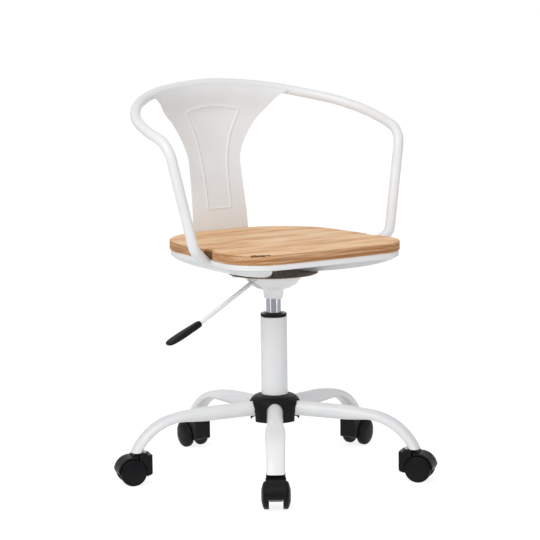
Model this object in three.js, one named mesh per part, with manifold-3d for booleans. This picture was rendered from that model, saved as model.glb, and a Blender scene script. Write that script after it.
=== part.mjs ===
// A swivel armchair: a wooden seat board on a steel pan, one bent tube for arms and back, a pressed
// back splat, a gas lift with a lever, and five bent legs on twin-wheel casters.
// Millimetres, +Z up, floor at zero, the front of the chair faces -Y.

import * as THREE from "three";
import { mergeVertices, toCreasedNormals } from "three/addons/utils/BufferGeometryUtils.js";
import Module from "manifold-3d";

const wasm = await Module();
wasm.setup();

// Driving dimensions

// Clearance between two pieces that touch, and how far a cut runs past a face.
const gap = 0.3;
const overrun = 2;
// Vertices closer than this are one vertex.
const mergeDistance = 0.0001;
// The swivel axis stands this far in front of the middle of the floor print.
const axisSetback = 20;

// The wooden board. Its sides bulge a little between rounded corners.
const board = {
  top: 449.5,
  thickness: 18,
  edge: 2.5,
  front: 193,
  rear: 181,
  frontHalfWidth: 190.3,
  rearHalfWidth: 169.4,
  frontRadius: 68,
  rearRadius: 135,
  frontBulge: 8.7,
  rearBulge: 1,
  sideBulge: 0.5,
  notchFront: 86,
  notchRear: 50,
  notchInside: 176.5,
  notchRadius: 4,
};

// The pressed pan under the board, open below, with its rim turned in.
const pan = { inset: 2, depth: 14.5, sheet: 2, edge: 2.5, lip: 12 };

// The underframe: a shallow pressing from the pan's lip down to a flat floor, open at the front.
const underframe = {
  inset: 3,
  sheet: 2,
  depth: 29.4,
  front: 52,
  rear: 96,
  halfWidth: 96,
  radius: 26,
  mouthHalfWidth: 56,
  channelHalfWidth: 52,
  channelEnd: 48,
  bossRadius: 7,
  bossHeight: 10.5,
};

// The round tray that the mechanism is welded to.
const tray = { radius: 86, sheet: 2, lipHeight: 3.8, lipRun: 6, lipLean: 1.4 };

// Bolts from the tray into the underframe's bosses.
const bolt = { x: 64, y: 30, radius: 4, headRadius: 7.5, headHeight: 4.4, length: 12 };

// Wood screws through the pan into the board.
const screw = { x: 112, y: 112, radius: 2, headRadius: 4.2, headHeight: 2.4, length: 13, pilot: 14 };

// The arm hoop: one tube from the pan's left side round the back to its right side.
const hoop = {
  radius: 9.5,
  wall: 1.5,
  footX: 176,
  footY: 58.2,
  footDrop: 31.3,
  kinkX: 219.2,
  kinkY: 74.3,
  kinkRise: 2.5,
  kinkRadius: 25,
  bendX: 259,
  bendY: 56.7,
  bendZ: 645,
  bendRadius: 46,
  backDepth: 215.5,
  backHeight: 734,
};
// From the front bend to the middle of the back: shares of half the width, the depth and the rise.
const hoopCurveShares = [
  [1.006, 0.11, 0.092],
  [1.012, 0.218, 0.192],
  [0.979, 0.427, 0.394],
  [0.873, 0.622, 0.582],
  [0.72, 0.791, 0.724],
  [0.525, 0.914, 0.857],
  [0.301, 0.979, 0.944],
  [0, 1, 1],
];

// The back splat: a bent sheet from the pan's rear wall to the hoop.
const splat = {
  sheet: 2,
  waistHalfWidth: 58,
  topHalfWidth: 160,
  topDepth: 211.5,
  earHalfWidth: 137,
  earDrop: 20,
  footStep: 6,
  wrap: 33,
};
// Rows of the splat from foot to top: share of its height, of its waist width and of its lean.
const splatRowShares = [
  [0, 1.1, 0],
  [0.05, 1.1, 0.005],
  [0.11, 1.09, 0.015],
  [0.18, 1.075, 0.05],
  [0.27, 1.05, 0.2],
  [0.37, 1.03, 0.42],
  [0.46, 1.015, 0.62],
  [0.54, 1.02, 0.79],
  [0.61, 1.13, 0.89],
  [0.68, 1.32, 0.95],
  [0.76, 1.61, 1],
  [0.83, 1.98, 1],
];

// The mechanism housing: a bowl with a neck, welded under the tray, that grips the gas cylinder.
const housing = {
  wall: 2,
  bowlRadius: 56,
  shoulderRadius: 51,
  shoulderDrop: 11,
  flankRadius: 43.5,
  flankDrop: 20,
  bellyRadius: 33,
  bellyDrop: 26,
  collarRadius: 18,
  collarDrop: 38.9,
  neckRadius: 16,
  neckDrop: 47.9,
  socketWall: 3.2,
  facetHighDrop: 11.9,
  facetHighReach: 49,
  facetLowDrop: 28.9,
  facetLowReach: 27,
  slotHalfWidth: 6,
  slotDrop: 16,
  earThickness: 3,
  earReach: 8,
};

// The lever: a bent rod on a pin, with a paddle grip.
const lever = {
  rodRadius: 4,
  innerReach: 7,
  drop: 7.9,
  bendReach: 38,
  bendRadius: 16,
  jointReach: 163.5,
  jointDrop: 70.7,
  pinReach: 30,
  pinRadius: 2,
  pinHalfLength: 11,
  tipReach: 235,
  tipDrop: 103,
  gripWidth: 25,
  gripThickness: 12.5,
  gripOverlap: 16,
};
// How far a section goes from an ellipse, at 2, towards a rectangle.
const gripSquareness = 2.6;
// The grip's sections from the rod to the tip: share of its length, its width and its thickness.
const gripShares = [
  [0, 0.5, 0.9],
  [0.08, 0.58, 1],
  [0.3, 0.76, 1],
  [0.55, 0.93, 0.96],
  [0.78, 1, 0.84],
  [0.92, 0.9, 0.66],
  [1, 0.5, 0.34],
];

// The gas lift: a cylinder that slides in the column's bush and stands on its piston rod.
const gas = {
  radius: 14,
  wall: 2,
  bottom: 148,
  topDrop: 16.5,
  endThickness: 5,
  buttonRadius: 4,
  pistonRadius: 11.6,
  pistonBottom: 262,
  pistonThickness: 10,
  rodRadius: 5,
  shoulderRadius: 9,
  shoulderHeight: 4,
  grooveRadius: 4,
  grooveHeight: 3.4,
  endLength: 3,
};

// The column tube, the bush in its mouth, and the bearing and clip at its foot.
const column = { radius: 25, wall: 2, bottom: 97, top: 301.3, floor: 3 };
const bush = {
  length: 60,
  flangeThickness: 6.4,
  edge: 1.6,
  collarRadius: 18,
  collarHeight: 1.4,
  clearance: 0.3,
};
const bearing = { radius: 12, height: 5 };
const clip = { radius: 9, thickness: 2.6, mouth: 6 };

// The base's hub: a steel core that carries the legs, under a black cover with an arch over each leg.
const hub = { coreRadius: 32, coreBottom: 105, coreTop: 148 };
const cover = {
  wall: 2.4,
  top: 153,
  crownDrop: 3.5,
  crownRadius: 38,
  shoulderDrop: 9,
  shoulderRadius: 44.5,
  waistRadius: 48.5,
  waistHeight: 137,
  footRadius: 46.5,
  footHeight: 102.8,
  archHalfWidth: 15.5,
};

// The legs: round tube near the hub, pressed flatter where it bends down to the caster.
const leg = {
  count: 5,
  firstAngle: -33.58,
  radius: 14,
  wall: 1.5,
  hubHeight: 126.6,
  slope: 2.1,
  bendStart: 180,
  bendRadius: 110,
  bendAngle: 61.5,
  end: 61,
  pressStart: 130,
  pressEnd: 207,
  flatHalfThickness: 8.3,
  flatHalfWidth: 18.5,
  endHalfWidth: 16.8,
  socketRadius: 12,
  socketTop: 84,
};
const legSquareness = 2.7;

// The casters, each with a stem in the leg's socket and two wheels on an axle behind the stem.
const caster = {
  ring: 265,
  trail: 19,
  wheelRadius: 25,
  wheelInside: 12.7,
  treadOutside: 20.3,
  wheelOutside: 26.5,
  discRadius: 22,
  discStep: 0.7,
  domeDrop: 3.6,
  hoodHalfWidth: 18.6,
  hoodThickness: 3.3,
  hoodLip: 4.1,
  blockRadius: 17.6,
  blockTop: 59.4,
  blockFoot: 28,
  keelReach: 9,
  keelHeight: 19,
  spineHalfWidth: 12.2,
  spineBottom: 15,
  spineRun: 9,
  tailReach: 26.7,
  tailHeight: 19,
  tailCut: 6,
  axleRadius: 3,
  axleHalfLength: 19,
  stemRadius: 5.5,
  stemTop: 82,
  stemDepth: 16,
  stemTipLength: 2,
  collarRadius: 10,
  clearance: 0.4,
};

// Counts of sides and steps
const cornerSteps = 4;
const turnedSides = 24;
const gasSides = 20;
const smallSides = 10;
const tubeSides = 12;
const boreSides = 6;
const hexSides = 6;
const ringSides = 16;
const hubSides = 30;
const wheelSides = 16;
const splatColumns = 10;
const hoopSteps = 11;
const leverSteps = 3;
const pressSteps = 2;
const legArcSteps = 6;
const hoodSteps = 7;
const panEdgeSteps = 1;
const boardEdgeSteps = 2;

// Worked out from the driving dimensions
const boardBottom = board.top - board.thickness;
const panTop = boardBottom - gap;
const panBottom = panTop - pan.depth;
const underframeFloor = panBottom - underframe.depth;
const hoopFootZ = board.top - hoop.footDrop;
const hoopKinkZ = board.top + hoop.kinkRise;
const splatFoot = panBottom + gap;
const trayBottom = underframeFloor - gap - tray.lipHeight;
const trayTop = trayBottom + tray.sheet;
const trayLipTop = trayBottom + tray.lipHeight;
const housingTop = trayBottom - gap;
const collarBottom = housingTop - housing.collarDrop;
const neckBottom = housingTop - housing.neckDrop;
const facetHigh = housingTop - housing.facetHighDrop;
const facetLow = housingTop - housing.facetLowDrop;
const leverHeight = housingTop - lever.drop;
const gasTop = housingTop - gas.topDrop;
const boltSeat = trayBottom - gap;
const socketRadius = gas.radius + gap + housing.socketWall;
const columnBore = column.radius - column.wall;
const legSlope = THREE.MathUtils.degToRad(leg.slope);
const legStart = hub.coreRadius + gap + leg.radius * Math.sin(legSlope);
const hoodRadius = caster.wheelRadius + caster.clearance + caster.hoodLip;
const wheelClearance = hoodRadius + caster.clearance - caster.hoodThickness;
const creaseAngle = THREE.MathUtils.degToRad(35);

// Finishes
const finishes = {
  whitePaint: { color: 0xf1f1f0, roughness: 0.4, metalness: 0 },
  oak: { color: 0xd6a878, roughness: 0.55, metalness: 0 },
  blackNylon: { color: 0x2b2a2b, roughness: 0.5, metalness: 0 },
  blackAcetal: { color: 0x1d1d1f, roughness: 0.3, metalness: 0 },
  chrome: { color: 0xcfd3d6, roughness: 0.12, metalness: 1 },
  greySteel: { color: 0xb4b8bb, roughness: 0.35, metalness: 0.9 },
  bronzedSteel: { color: 0x5d5246, roughness: 0.3, metalness: 0.9 },
};

function finish(name) {
  return new THREE.MeshStandardMaterial({ name, ...finishes[name] });
}

// Solids and meshes

function solid(geometry) {
  const bare = geometry.clone();
  bare.deleteAttribute("normal");
  bare.deleteAttribute("uv");
  const merged = mergeVertices(bare, mergeDistance);
  return new wasm.Manifold(
    new wasm.Mesh({
      numProp: 3,
      vertProperties: merged.attributes.position.array,
      triVerts: new Uint32Array(merged.index.array),
    }),
  );
}

function piece(name, body, material) {
  const { vertProperties, triVerts } = body.getMesh();
  const geometry = new THREE.BufferGeometry();
  geometry.setAttribute("position", new THREE.BufferAttribute(vertProperties, 3));
  geometry.setIndex(new THREE.BufferAttribute(triVerts, 1));
  const mesh = new THREE.Mesh(toCreasedNormals(geometry, creaseAngle), finish(material));
  mesh.name = name;
  return mesh;
}

// A body turned round Z from a profile of [radius, height]; one that stays off the axis closes on itself.
function turned(profile, sides) {
  const points = profile.map(([radius, height]) => new THREE.Vector2(radius, height));
  if (points[0].x > 0) points.push(points[0].clone());
  return solid(new THREE.LatheGeometry(points, sides).rotateX(Math.PI / 2));
}

function rod(radius, low, high, sides, x = 0, y = 0) {
  return turned([[0, low], [radius, low], [radius, high], [0, high]], sides).translate([x, y, 0]);
}

// A flat outline raised from one height to another.
function prism(outline, low, high) {
  const options = { depth: high - low, bevelEnabled: false, curveSegments: cornerSteps };
  return solid(new THREE.ExtrudeGeometry(outline, options).translate(0, 0, low));
}

// The same with rounded edges.
function softPrism(outline, low, high, edge, edgeSteps) {
  const options = {
    depth: high - low - 2 * edge,
    bevelThickness: edge,
    bevelSize: edge,
    bevelOffset: -edge,
    bevelSegments: edgeSteps,
    curveSegments: cornerSteps,
  };
  return solid(new THREE.ExtrudeGeometry(outline, options).translate(0, 0, low + edge));
}

function block(x0, x1, y0, y1, z0, z1) {
  const box = new THREE.BoxGeometry(x1 - x0, y1 - y0, z1 - z0);
  return solid(box.translate((x0 + x1) / 2, (y0 + y1) / 2, (z0 + z1) / 2));
}

// An outline in the X-Z plane, given as [x, z] points, carried along Y.
function sidePrism(points, y0, y1) {
  const shape = new THREE.Shape(points.map(([x, z]) => new THREE.Vector2(x, z)));
  const geometry = new THREE.ExtrudeGeometry(shape, { depth: y1 - y0, bevelEnabled: false });
  return solid(geometry.rotateX(Math.PI / 2).translate(0, y1, 0));
}

// A closed body through a row of rings with as many points each, an even number. Each end is closed
// by strips from the first half of its ring to the second.
function loft(rings) {
  const sides = rings[0].length;
  const positions = rings.flatMap((ring) => ring.flatMap((point) => point.toArray()));
  const index = [];
  for (let row = 0; row < rings.length - 1; row++) {
    for (let side = 0; side < sides; side++) {
      const a = row * sides + side;
      const b = row * sides + ((side + 1) % sides);
      index.push(a, b, a + sides, b, b + sides, a + sides);
    }
  }
  const last = (rings.length - 1) * sides;
  for (let side = 0; side < sides / 2 - 1; side++) {
    const [a, b, c, d] = [side, side + 1, sides - 2 - side, sides - 1 - side];
    index.push(a, d, b, b, d, c);
    index.push(last + a, last + b, last + d, last + b, last + c, last + d);
  }
  const geometry = new THREE.BufferGeometry();
  geometry.setAttribute("position", new THREE.Float32BufferAttribute(positions, 3));
  geometry.setIndex(index);
  return solid(geometry);
}

// The way a path heads at each of its points.
function headingsAlong(path) {
  return path.map((point, i) => {
    const before = path[Math.max(i - 1, 0)];
    return path[Math.min(i + 1, path.length - 1)].clone().sub(before).normalize();
  });
}

// A section carried along a path. sectionAt(ring, angle) gives [sideways, upwards].
function sweep(path, sides, sectionAt, side) {
  const headings = headingsAlong(path);
  const across = side.clone().addScaledVector(headings[0], -side.dot(headings[0])).normalize();
  const turn = new THREE.Quaternion();
  const rings = path.map((point, i) => {
    if (i > 0) across.applyQuaternion(turn.setFromUnitVectors(headings[i - 1], headings[i]));
    const up = headings[i].clone().cross(across);
    return Array.from({ length: sides }, (unused, k) => {
      const [u, v] = sectionAt(i, (2 * Math.PI * (k + 0.5)) / sides);
      return point.clone().addScaledVector(across, u).addScaledVector(up, v);
    });
  });
  return loft(rings);
}

function roundSection(radius) {
  return (ring, angle) => [radius * Math.cos(angle), radius * Math.sin(angle)];
}

// A sine or cosine pushed outwards, which turns an ellipse of squareness 2 towards a rectangle.
function squared(value, squareness) {
  return Math.sign(value) * Math.abs(value) ** (2 / squareness);
}

// Points of a path through corners {at, radius}; the first and last stay sharp.
function filletedPath(corners, steps) {
  return corners.flatMap(({ at, radius }, i) => {
    if (!radius) return [at.clone()];
    const into = at.clone().sub(corners[i - 1].at).normalize();
    const out = corners[i + 1].at.clone().sub(at).normalize();
    const angle = into.angleTo(out);
    const start = at.clone().addScaledVector(into, -radius * Math.tan(angle / 2));
    const inwards = out.clone().addScaledVector(into, -out.dot(into)).normalize();
    return Array.from({ length: steps + 1 }, (unused, k) => {
      const turn = (angle * k) / steps;
      return start
        .clone()
        .addScaledVector(into, radius * Math.sin(turn))
        .addScaledVector(inwards, radius * (1 - Math.cos(turn)));
    });
  });
}

// An outline through corners {x, y, radius, bulge}, anticlockwise; a corner's bulge is that of the
// side that follows it.
function roundedShape(corners) {
  const handleShare = 0.55;
  const sides = corners.map((from, i) => {
    const to = corners[(i + 1) % corners.length];
    const along = new THREE.Vector2(to.x - from.x, to.y - from.y);
    const length = along.length();
    along.normalize();
    return { from, length, along, outward: new THREE.Vector2(along.y, -along.x) };
  });
  const cutBack = corners.map(({ radius }, i) => {
    const before = sides.at(i - 1).along;
    return radius * Math.tan(Math.acos(before.dot(sides[i].along)) / 2);
  });
  // A point on a side and the way the outline heads there.
  const onSide = ({ from, length, along, outward }, distance) => {
    const share = distance / length;
    const rise = 4 * from.bulge * share * (1 - share);
    const slope = (4 * from.bulge * (1 - 2 * share)) / length;
    const point = new THREE.Vector2(from.x, from.y).addScaledVector(along, distance);
    return {
      point: point.addScaledVector(outward, rise),
      heading: along.clone().addScaledVector(outward, slope).normalize(),
    };
  };
  // Where the tangents at two points of the outline meet.
  const meeting = (start, end) => {
    const between = end.point.clone().sub(start.point);
    const cross = start.heading.cross(end.heading);
    return start.point.clone().addScaledVector(start.heading, between.cross(end.heading) / cross);
  };
  const ends = sides.map((side, i) => ({
    start: onSide(side, cutBack[i]),
    end: onSide(side, side.length - cutBack[(i + 1) % corners.length]),
  }));
  const shape = new THREE.Shape();
  shape.moveTo(ends[0].start.point.x, ends[0].start.point.y);
  ends.forEach(({ start, end }, i) => {
    if (corners[i].bulge) {
      const control = meeting(start, end);
      shape.quadraticCurveTo(control.x, control.y, end.point.x, end.point.y);
    } else {
      shape.lineTo(end.point.x, end.point.y);
    }
    const next = ends[(i + 1) % ends.length].start;
    const tip = meeting(end, next);
    const first = end.point.clone().lerp(tip, handleShare);
    const second = next.point.clone().lerp(tip, handleShare);
    shape.bezierCurveTo(first.x, first.y, second.x, second.y, next.point.x, next.point.y);
  });
  return shape;
}

// Repeats for pieces that stand in mirrored or turned places

const quarters = [
  ["front_left", -1, -1],
  ["front_right", 1, -1],
  ["rear_right", 1, 1],
  ["rear_left", -1, 1],
];

function around(count, first, make) {
  return Array.from({ length: count }, (unused, i) => make(i + 1, first + (360 / count) * i));
}

// Seat

// The board's outline drawn in by a margin.
function seatOutline(inset) {
  const front = { radius: board.frontRadius - inset };
  const rear = { radius: board.rearRadius - inset };
  const halfFront = board.frontHalfWidth - inset;
  const halfRear = board.rearHalfWidth - inset;
  return roundedShape([
    { x: -halfFront, y: inset - board.front, bulge: board.frontBulge, ...front },
    { x: halfFront, y: inset - board.front, bulge: board.sideBulge, ...front },
    { x: halfRear, y: board.rear - inset, bulge: board.rearBulge, ...rear },
    { x: -halfRear, y: board.rear - inset, bulge: board.sideBulge, ...rear },
  ]);
}

function notchOutline() {
  const outside = board.frontHalfWidth + overrun;
  const corner = { radius: board.notchRadius, bulge: 0 };
  return roundedShape([
    { x: board.notchInside, y: -board.notchFront, ...corner },
    { x: outside, y: -board.notchFront, ...corner },
    { x: outside, y: -board.notchRear, ...corner },
    { x: board.notchInside, y: -board.notchRear, ...corner },
  ]);
}

function seatBoard() {
  const notch = prism(notchOutline(), boardBottom - overrun, board.top + overrun);
  let body = softPrism(seatOutline(0), boardBottom, board.top, board.edge, boardEdgeSteps);
  body = body.subtract(notch).subtract(notch.mirror([1, 0, 0]));
  for (const [, sideX, sideY] of quarters) {
    const pilotRadius = screw.radius + gap;
    const top = boardBottom + screw.pilot;
    body = body.subtract(
      rod(pilotRadius, boardBottom - overrun, top, boreSides, sideX * screw.x, sideY * screw.y),
    );
  }
  return piece("seat_board", body, "oak");
}

function seatPan() {
  let body = softPrism(seatOutline(pan.inset), panBottom, panTop, pan.edge, panEdgeSteps);
  const inside = seatOutline(pan.inset + pan.sheet);
  body = body.subtract(prism(inside, panBottom + pan.sheet, panTop - pan.sheet));
  const mouth = seatOutline(pan.inset + pan.sheet + pan.lip);
  body = body.subtract(prism(mouth, panBottom - overrun, panBottom + pan.sheet + overrun));
  for (const [, sideX, sideY] of quarters) {
    const holeRadius = screw.radius + gap;
    const low = panTop - pan.sheet - overrun;
    body = body.subtract(
      rod(holeRadius, low, panTop + overrun, boreSides, sideX * screw.x, sideY * screw.y),
    );
  }
  return piece("seat_pan", body, "whitePaint");
}

// The plan of the underframe's opening: a wide mouth at the front that narrows to a channel.
function channelOutline(margin) {
  const channel = underframe.channelHalfWidth + margin;
  const mouth = underframe.mouthHalfWidth + margin;
  const end = underframe.channelEnd + margin;
  const shape = new THREE.Shape();
  shape.moveTo(-mouth, -board.front - overrun);
  shape.lineTo(mouth, -board.front - overrun);
  shape.lineTo(channel, -underframe.front);
  shape.lineTo(channel, end - channel);
  shape.absarc(0, end - channel, channel, 0, Math.PI, false);
  shape.lineTo(-channel, -underframe.front);
  return shape;
}

function underframeBlank() {
  const corner = { radius: underframe.radius, bulge: 0 };
  const { front, rear, halfWidth } = underframe;
  const rearHalfWidth = halfWidth * (board.rearHalfWidth / board.frontHalfWidth);
  const lower = roundedShape([
    { x: -halfWidth, y: -front, ...corner },
    { x: halfWidth, y: -front, ...corner },
    { x: rearHalfWidth, y: rear, ...corner },
    { x: -rearHalfWidth, y: rear, ...corner },
  ]);
  const upper = seatOutline(pan.inset + underframe.inset);
  const ring = (shape, height) => {
    const corners = shape.curves.flatMap((curve) => curve.getPoints(cornerSteps).slice(1));
    return corners.map((point) => new THREE.Vector3(point.x, point.y, height));
  };
  return loft([ring(lower, underframeFloor), ring(upper, panBottom - gap)]);
}

function seatUnderframe() {
  const blank = underframeBlank();
  const low = underframeFloor - overrun;
  const outside = blank.subtract(prism(channelOutline(0), low, panBottom + overrun));
  const inside = blank
    .translate([0, 0, underframe.sheet])
    .subtract(prism(channelOutline(underframe.sheet), low, panBottom + overrun));
  let body = outside.subtract(inside);
  for (const [, sideX, sideY] of quarters) {
    const place = [sideX * bolt.x, sideY * bolt.y];
    const bossBottom = trayTop + gap;
    const bossTop = bossBottom + underframe.bossHeight;
    body = body
      .add(rod(underframe.bossRadius, bossBottom, bossTop, smallSides, ...place))
      .subtract(rod(bolt.radius + gap, low - overrun, bossTop + overrun, boreSides, ...place));
  }
  return piece("seat_underframe", body, "whitePaint");
}

function seatScrew(name, sideX, sideY) {
  const headTop = panTop - pan.sheet - gap;
  const profile = [
    [0, headTop - screw.headHeight],
    [screw.headRadius, headTop - screw.headHeight / 2],
    [screw.headRadius, headTop],
    [screw.radius, headTop],
    [screw.radius, headTop + screw.length - screw.headHeight],
    [0, headTop + screw.length],
  ];
  const body = turned(profile, boreSides).translate([sideX * screw.x, sideY * screw.y, 0]);
  return piece(`seat_screw_${name}`, body, "greySteel");
}

// Arm hoop

// The hoop's centre line from its right foot to the middle of the back.
function halfHoopPath() {
  const foot = new THREE.Vector3(hoop.footX, -hoop.footY, hoopFootZ);
  const kink = new THREE.Vector3(hoop.kinkX, -hoop.kinkY, hoopKinkZ);
  const bend = new THREE.Vector3(hoop.bendX, -hoop.bendY, hoop.bendZ);
  const run = hoop.bendY + hoop.backDepth;
  const rise = hoop.backHeight - hoop.bendZ;
  const curvePoints = hoopCurveShares.map(
    ([x, y, z]) => new THREE.Vector3(x * hoop.bendX, y * run - hoop.bendY, hoop.bendZ + z * rise),
  );
  const mirrored = curvePoints.at(-2).clone();
  mirrored.x = -mirrored.x;
  const corners = [
    { at: foot, radius: 0 },
    { at: kink, radius: hoop.kinkRadius },
    { at: bend, radius: hoop.bendRadius },
    { at: curvePoints[0], radius: 0 },
  ];
  const path = filletedPath(corners, cornerSteps);
  path.pop();
  const exit = path.pop();
  const spline = new THREE.CatmullRomCurve3([exit, ...curvePoints.slice(1), mirrored]);
  const middle = (curvePoints.length - 1) / curvePoints.length;
  for (let i = 0; i <= hoopSteps; i++) path.push(spline.getPoint((middle * i) / hoopSteps));
  path.at(-1).x = 0;
  return path;
}

function mirrorX(point) {
  return new THREE.Vector3(-point.x, point.y, point.z);
}

// The path round the whole hoop, from one foot to the other, its ends run on by a length.
function hoopPath(extra) {
  const half = halfHoopPath();
  const direction = half[0].clone().sub(half[1]).normalize();
  half[0].addScaledVector(direction, extra);
  return [...half, ...half.slice(0, -1).reverse().map(mirrorX)];
}

function armHoop() {
  const sideways = new THREE.Vector3(0, 1, 0);
  const outside = sweep(hoopPath(0), tubeSides, roundSection(hoop.radius), sideways);
  const bore = sweep(hoopPath(overrun), boreSides, roundSection(hoop.radius - hoop.wall), sideways);
  const panSpace = prism(seatOutline(pan.inset - gap), 0, boardBottom);
  const below = block(-hoop.bendX, hoop.bendX, -board.front, board.rear, 0, panBottom);
  const body = outside.subtract(bore).subtract(panSpace).subtract(below);
  return piece("arm_hoop", body, "whitePaint");
}

// Back splat

// Where the hoop's centre line passes a distance from the middle, and its heading there.
function hoopAt(x) {
  const path = halfHoopPath().reverse();
  const i = path.findIndex((point) => point.x >= Math.abs(x));
  const [from, to] = i > 0 ? [path[i - 1], path[i]] : [mirrorX(path[1]), path[0]];
  const share = i > 0 ? (Math.abs(x) - from.x) / (to.x - from.x) : 1;
  const at = from.clone().lerp(to, share);
  const heading = to.clone().sub(from).setZ(0).normalize();
  if (i === 0) heading.set(1, 0, 0);
  if (x < 0) {
    at.x = -at.x;
    heading.y = -heading.y;
  }
  return { at, heading };
}

// Where the splat's top edge meets the front of the hoop.
function splatTop(x) {
  const { at, heading } = hoopAt(x);
  const reach = hoop.radius + gap + splat.sheet / 2;
  return at.addScaledVector(new THREE.Vector3(heading.y, -heading.x, 0), reach);
}

// The middle of the splat's sheet, for a share of its width from -1 to 1.
function splatPoint(row, share) {
  const [heightShare, widthShare, leanShare] = splatRowShares[row];
  const height = splatFoot + heightShare * (hoop.backHeight - splatFoot);
  const x = share * widthShare * splat.waistHalfWidth;
  const rearFace = board.rear + board.rearBulge;
  const panFace = rearFace - pan.inset + gap + splat.sheet / 2;
  const behindBoard = rearFace + gap + splat.sheet / 2;
  const stepped = splatFoot + splat.footStep + pan.edge;
  const foot = height < stepped ? panFace : behindBoard;
  const wrap = splat.wrap * (x / splat.topHalfWidth) ** 2 * leanShare;
  const y = foot + leanShare * (splat.topDepth - foot) - wrap;
  return new THREE.Vector3(x, y, height);
}

function splatGrid() {
  const shares = Array.from({ length: splatColumns + 1 }, (unused, k) => (2 * k) / splatColumns - 1);
  const rows = splatRowShares.map((unused, row) => shares.map((share) => splatPoint(row, share)));
  const drop = new THREE.Vector3(0, 0, -splat.earDrop);
  rows.push(shares.map((share) => splatTop(share * splat.earHalfWidth).add(drop)));
  rows.push(shares.map((share) => splatTop(share * splat.topHalfWidth)));
  return rows;
}

// A sheet of even thickness round a grid of points.
function sheetBody(rows, thickness) {
  const columns = rows[0].length;
  const at = (row, column) => {
    const r = Math.min(Math.max(row, 0), rows.length - 1);
    return rows[r][Math.min(Math.max(column, 0), columns - 1)];
  };
  const normal = (row, column) => {
    const across = at(row, column + 1).clone().sub(at(row, column - 1));
    const up = at(row + 1, column).clone().sub(at(row - 1, column));
    return across.cross(up).normalize();
  };
  // Each row becomes a closed ring: along the front, then back along the rear.
  const rings = rows.map((points, row) => {
    const front = points.map((point, k) => point.clone().addScaledVector(normal(row, k), thickness / 2));
    const rear = points.map((point, k) => point.clone().addScaledVector(normal(row, k), -thickness / 2));
    return [...front, ...rear.reverse()];
  });
  return loft(rings);
}

function backSplat() {
  return piece("back_splat", sheetBody(splatGrid(), splat.sheet), "whitePaint");
}

// Mechanism

function mountPlate() {
  const lipStart = tray.radius - tray.lipRun;
  const profile = [
    [0, trayBottom],
    [lipStart, trayBottom],
    [tray.radius - tray.lipLean, trayBottom + tray.lipHeight / 3],
    [tray.radius, trayLipTop],
    [tray.radius - tray.sheet, trayLipTop],
    [tray.radius - tray.sheet - tray.lipLean, trayTop + tray.lipHeight / 4],
    [lipStart - tray.sheet, trayTop],
    [0, trayTop],
  ];
  let body = turned(profile, turnedSides);
  for (const [, sideX, sideY] of quarters) {
    const hole = rod(bolt.radius + gap, boltSeat - overrun, trayLipTop, boreSides);
    body = body.subtract(hole.translate([sideX * bolt.x, sideY * bolt.y, 0]));
  }
  return piece("mount_plate", body, "bronzedSteel");
}

function plateBolt(name, sideX, sideY) {
  const head = rod(bolt.headRadius, boltSeat - bolt.headHeight, boltSeat, hexSides);
  const shank = rod(bolt.radius, boltSeat - bolt.headHeight / 2, boltSeat + bolt.length, boreSides);
  const body = head.add(shank).translate([sideX * bolt.x, sideY * bolt.y, 0]);
  return piece(`plate_bolt_${name}`, body, "greySteel");
}

// The wedge that a slanted plane cuts off the housing on the lever's side.
function facetWedge(shift) {
  const rise = facetHigh - facetLow;
  const run = housing.facetHighReach - housing.facetLowReach;
  const length = Math.hypot(rise, run);
  const nudge = [(shift * rise) / length, (shift * run) / length];
  const far = 2 * housing.bowlRadius;
  const line = (reach) => facetLow + ((reach - housing.facetLowReach) * rise) / run;
  const points = [
    [nudge[0], line(0) + nudge[1]],
    [nudge[0] - far, line(far) + nudge[1]],
    [nudge[0] - far, line(0) + nudge[1]],
  ];
  return sidePrism(points, -far, far);
}

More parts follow.
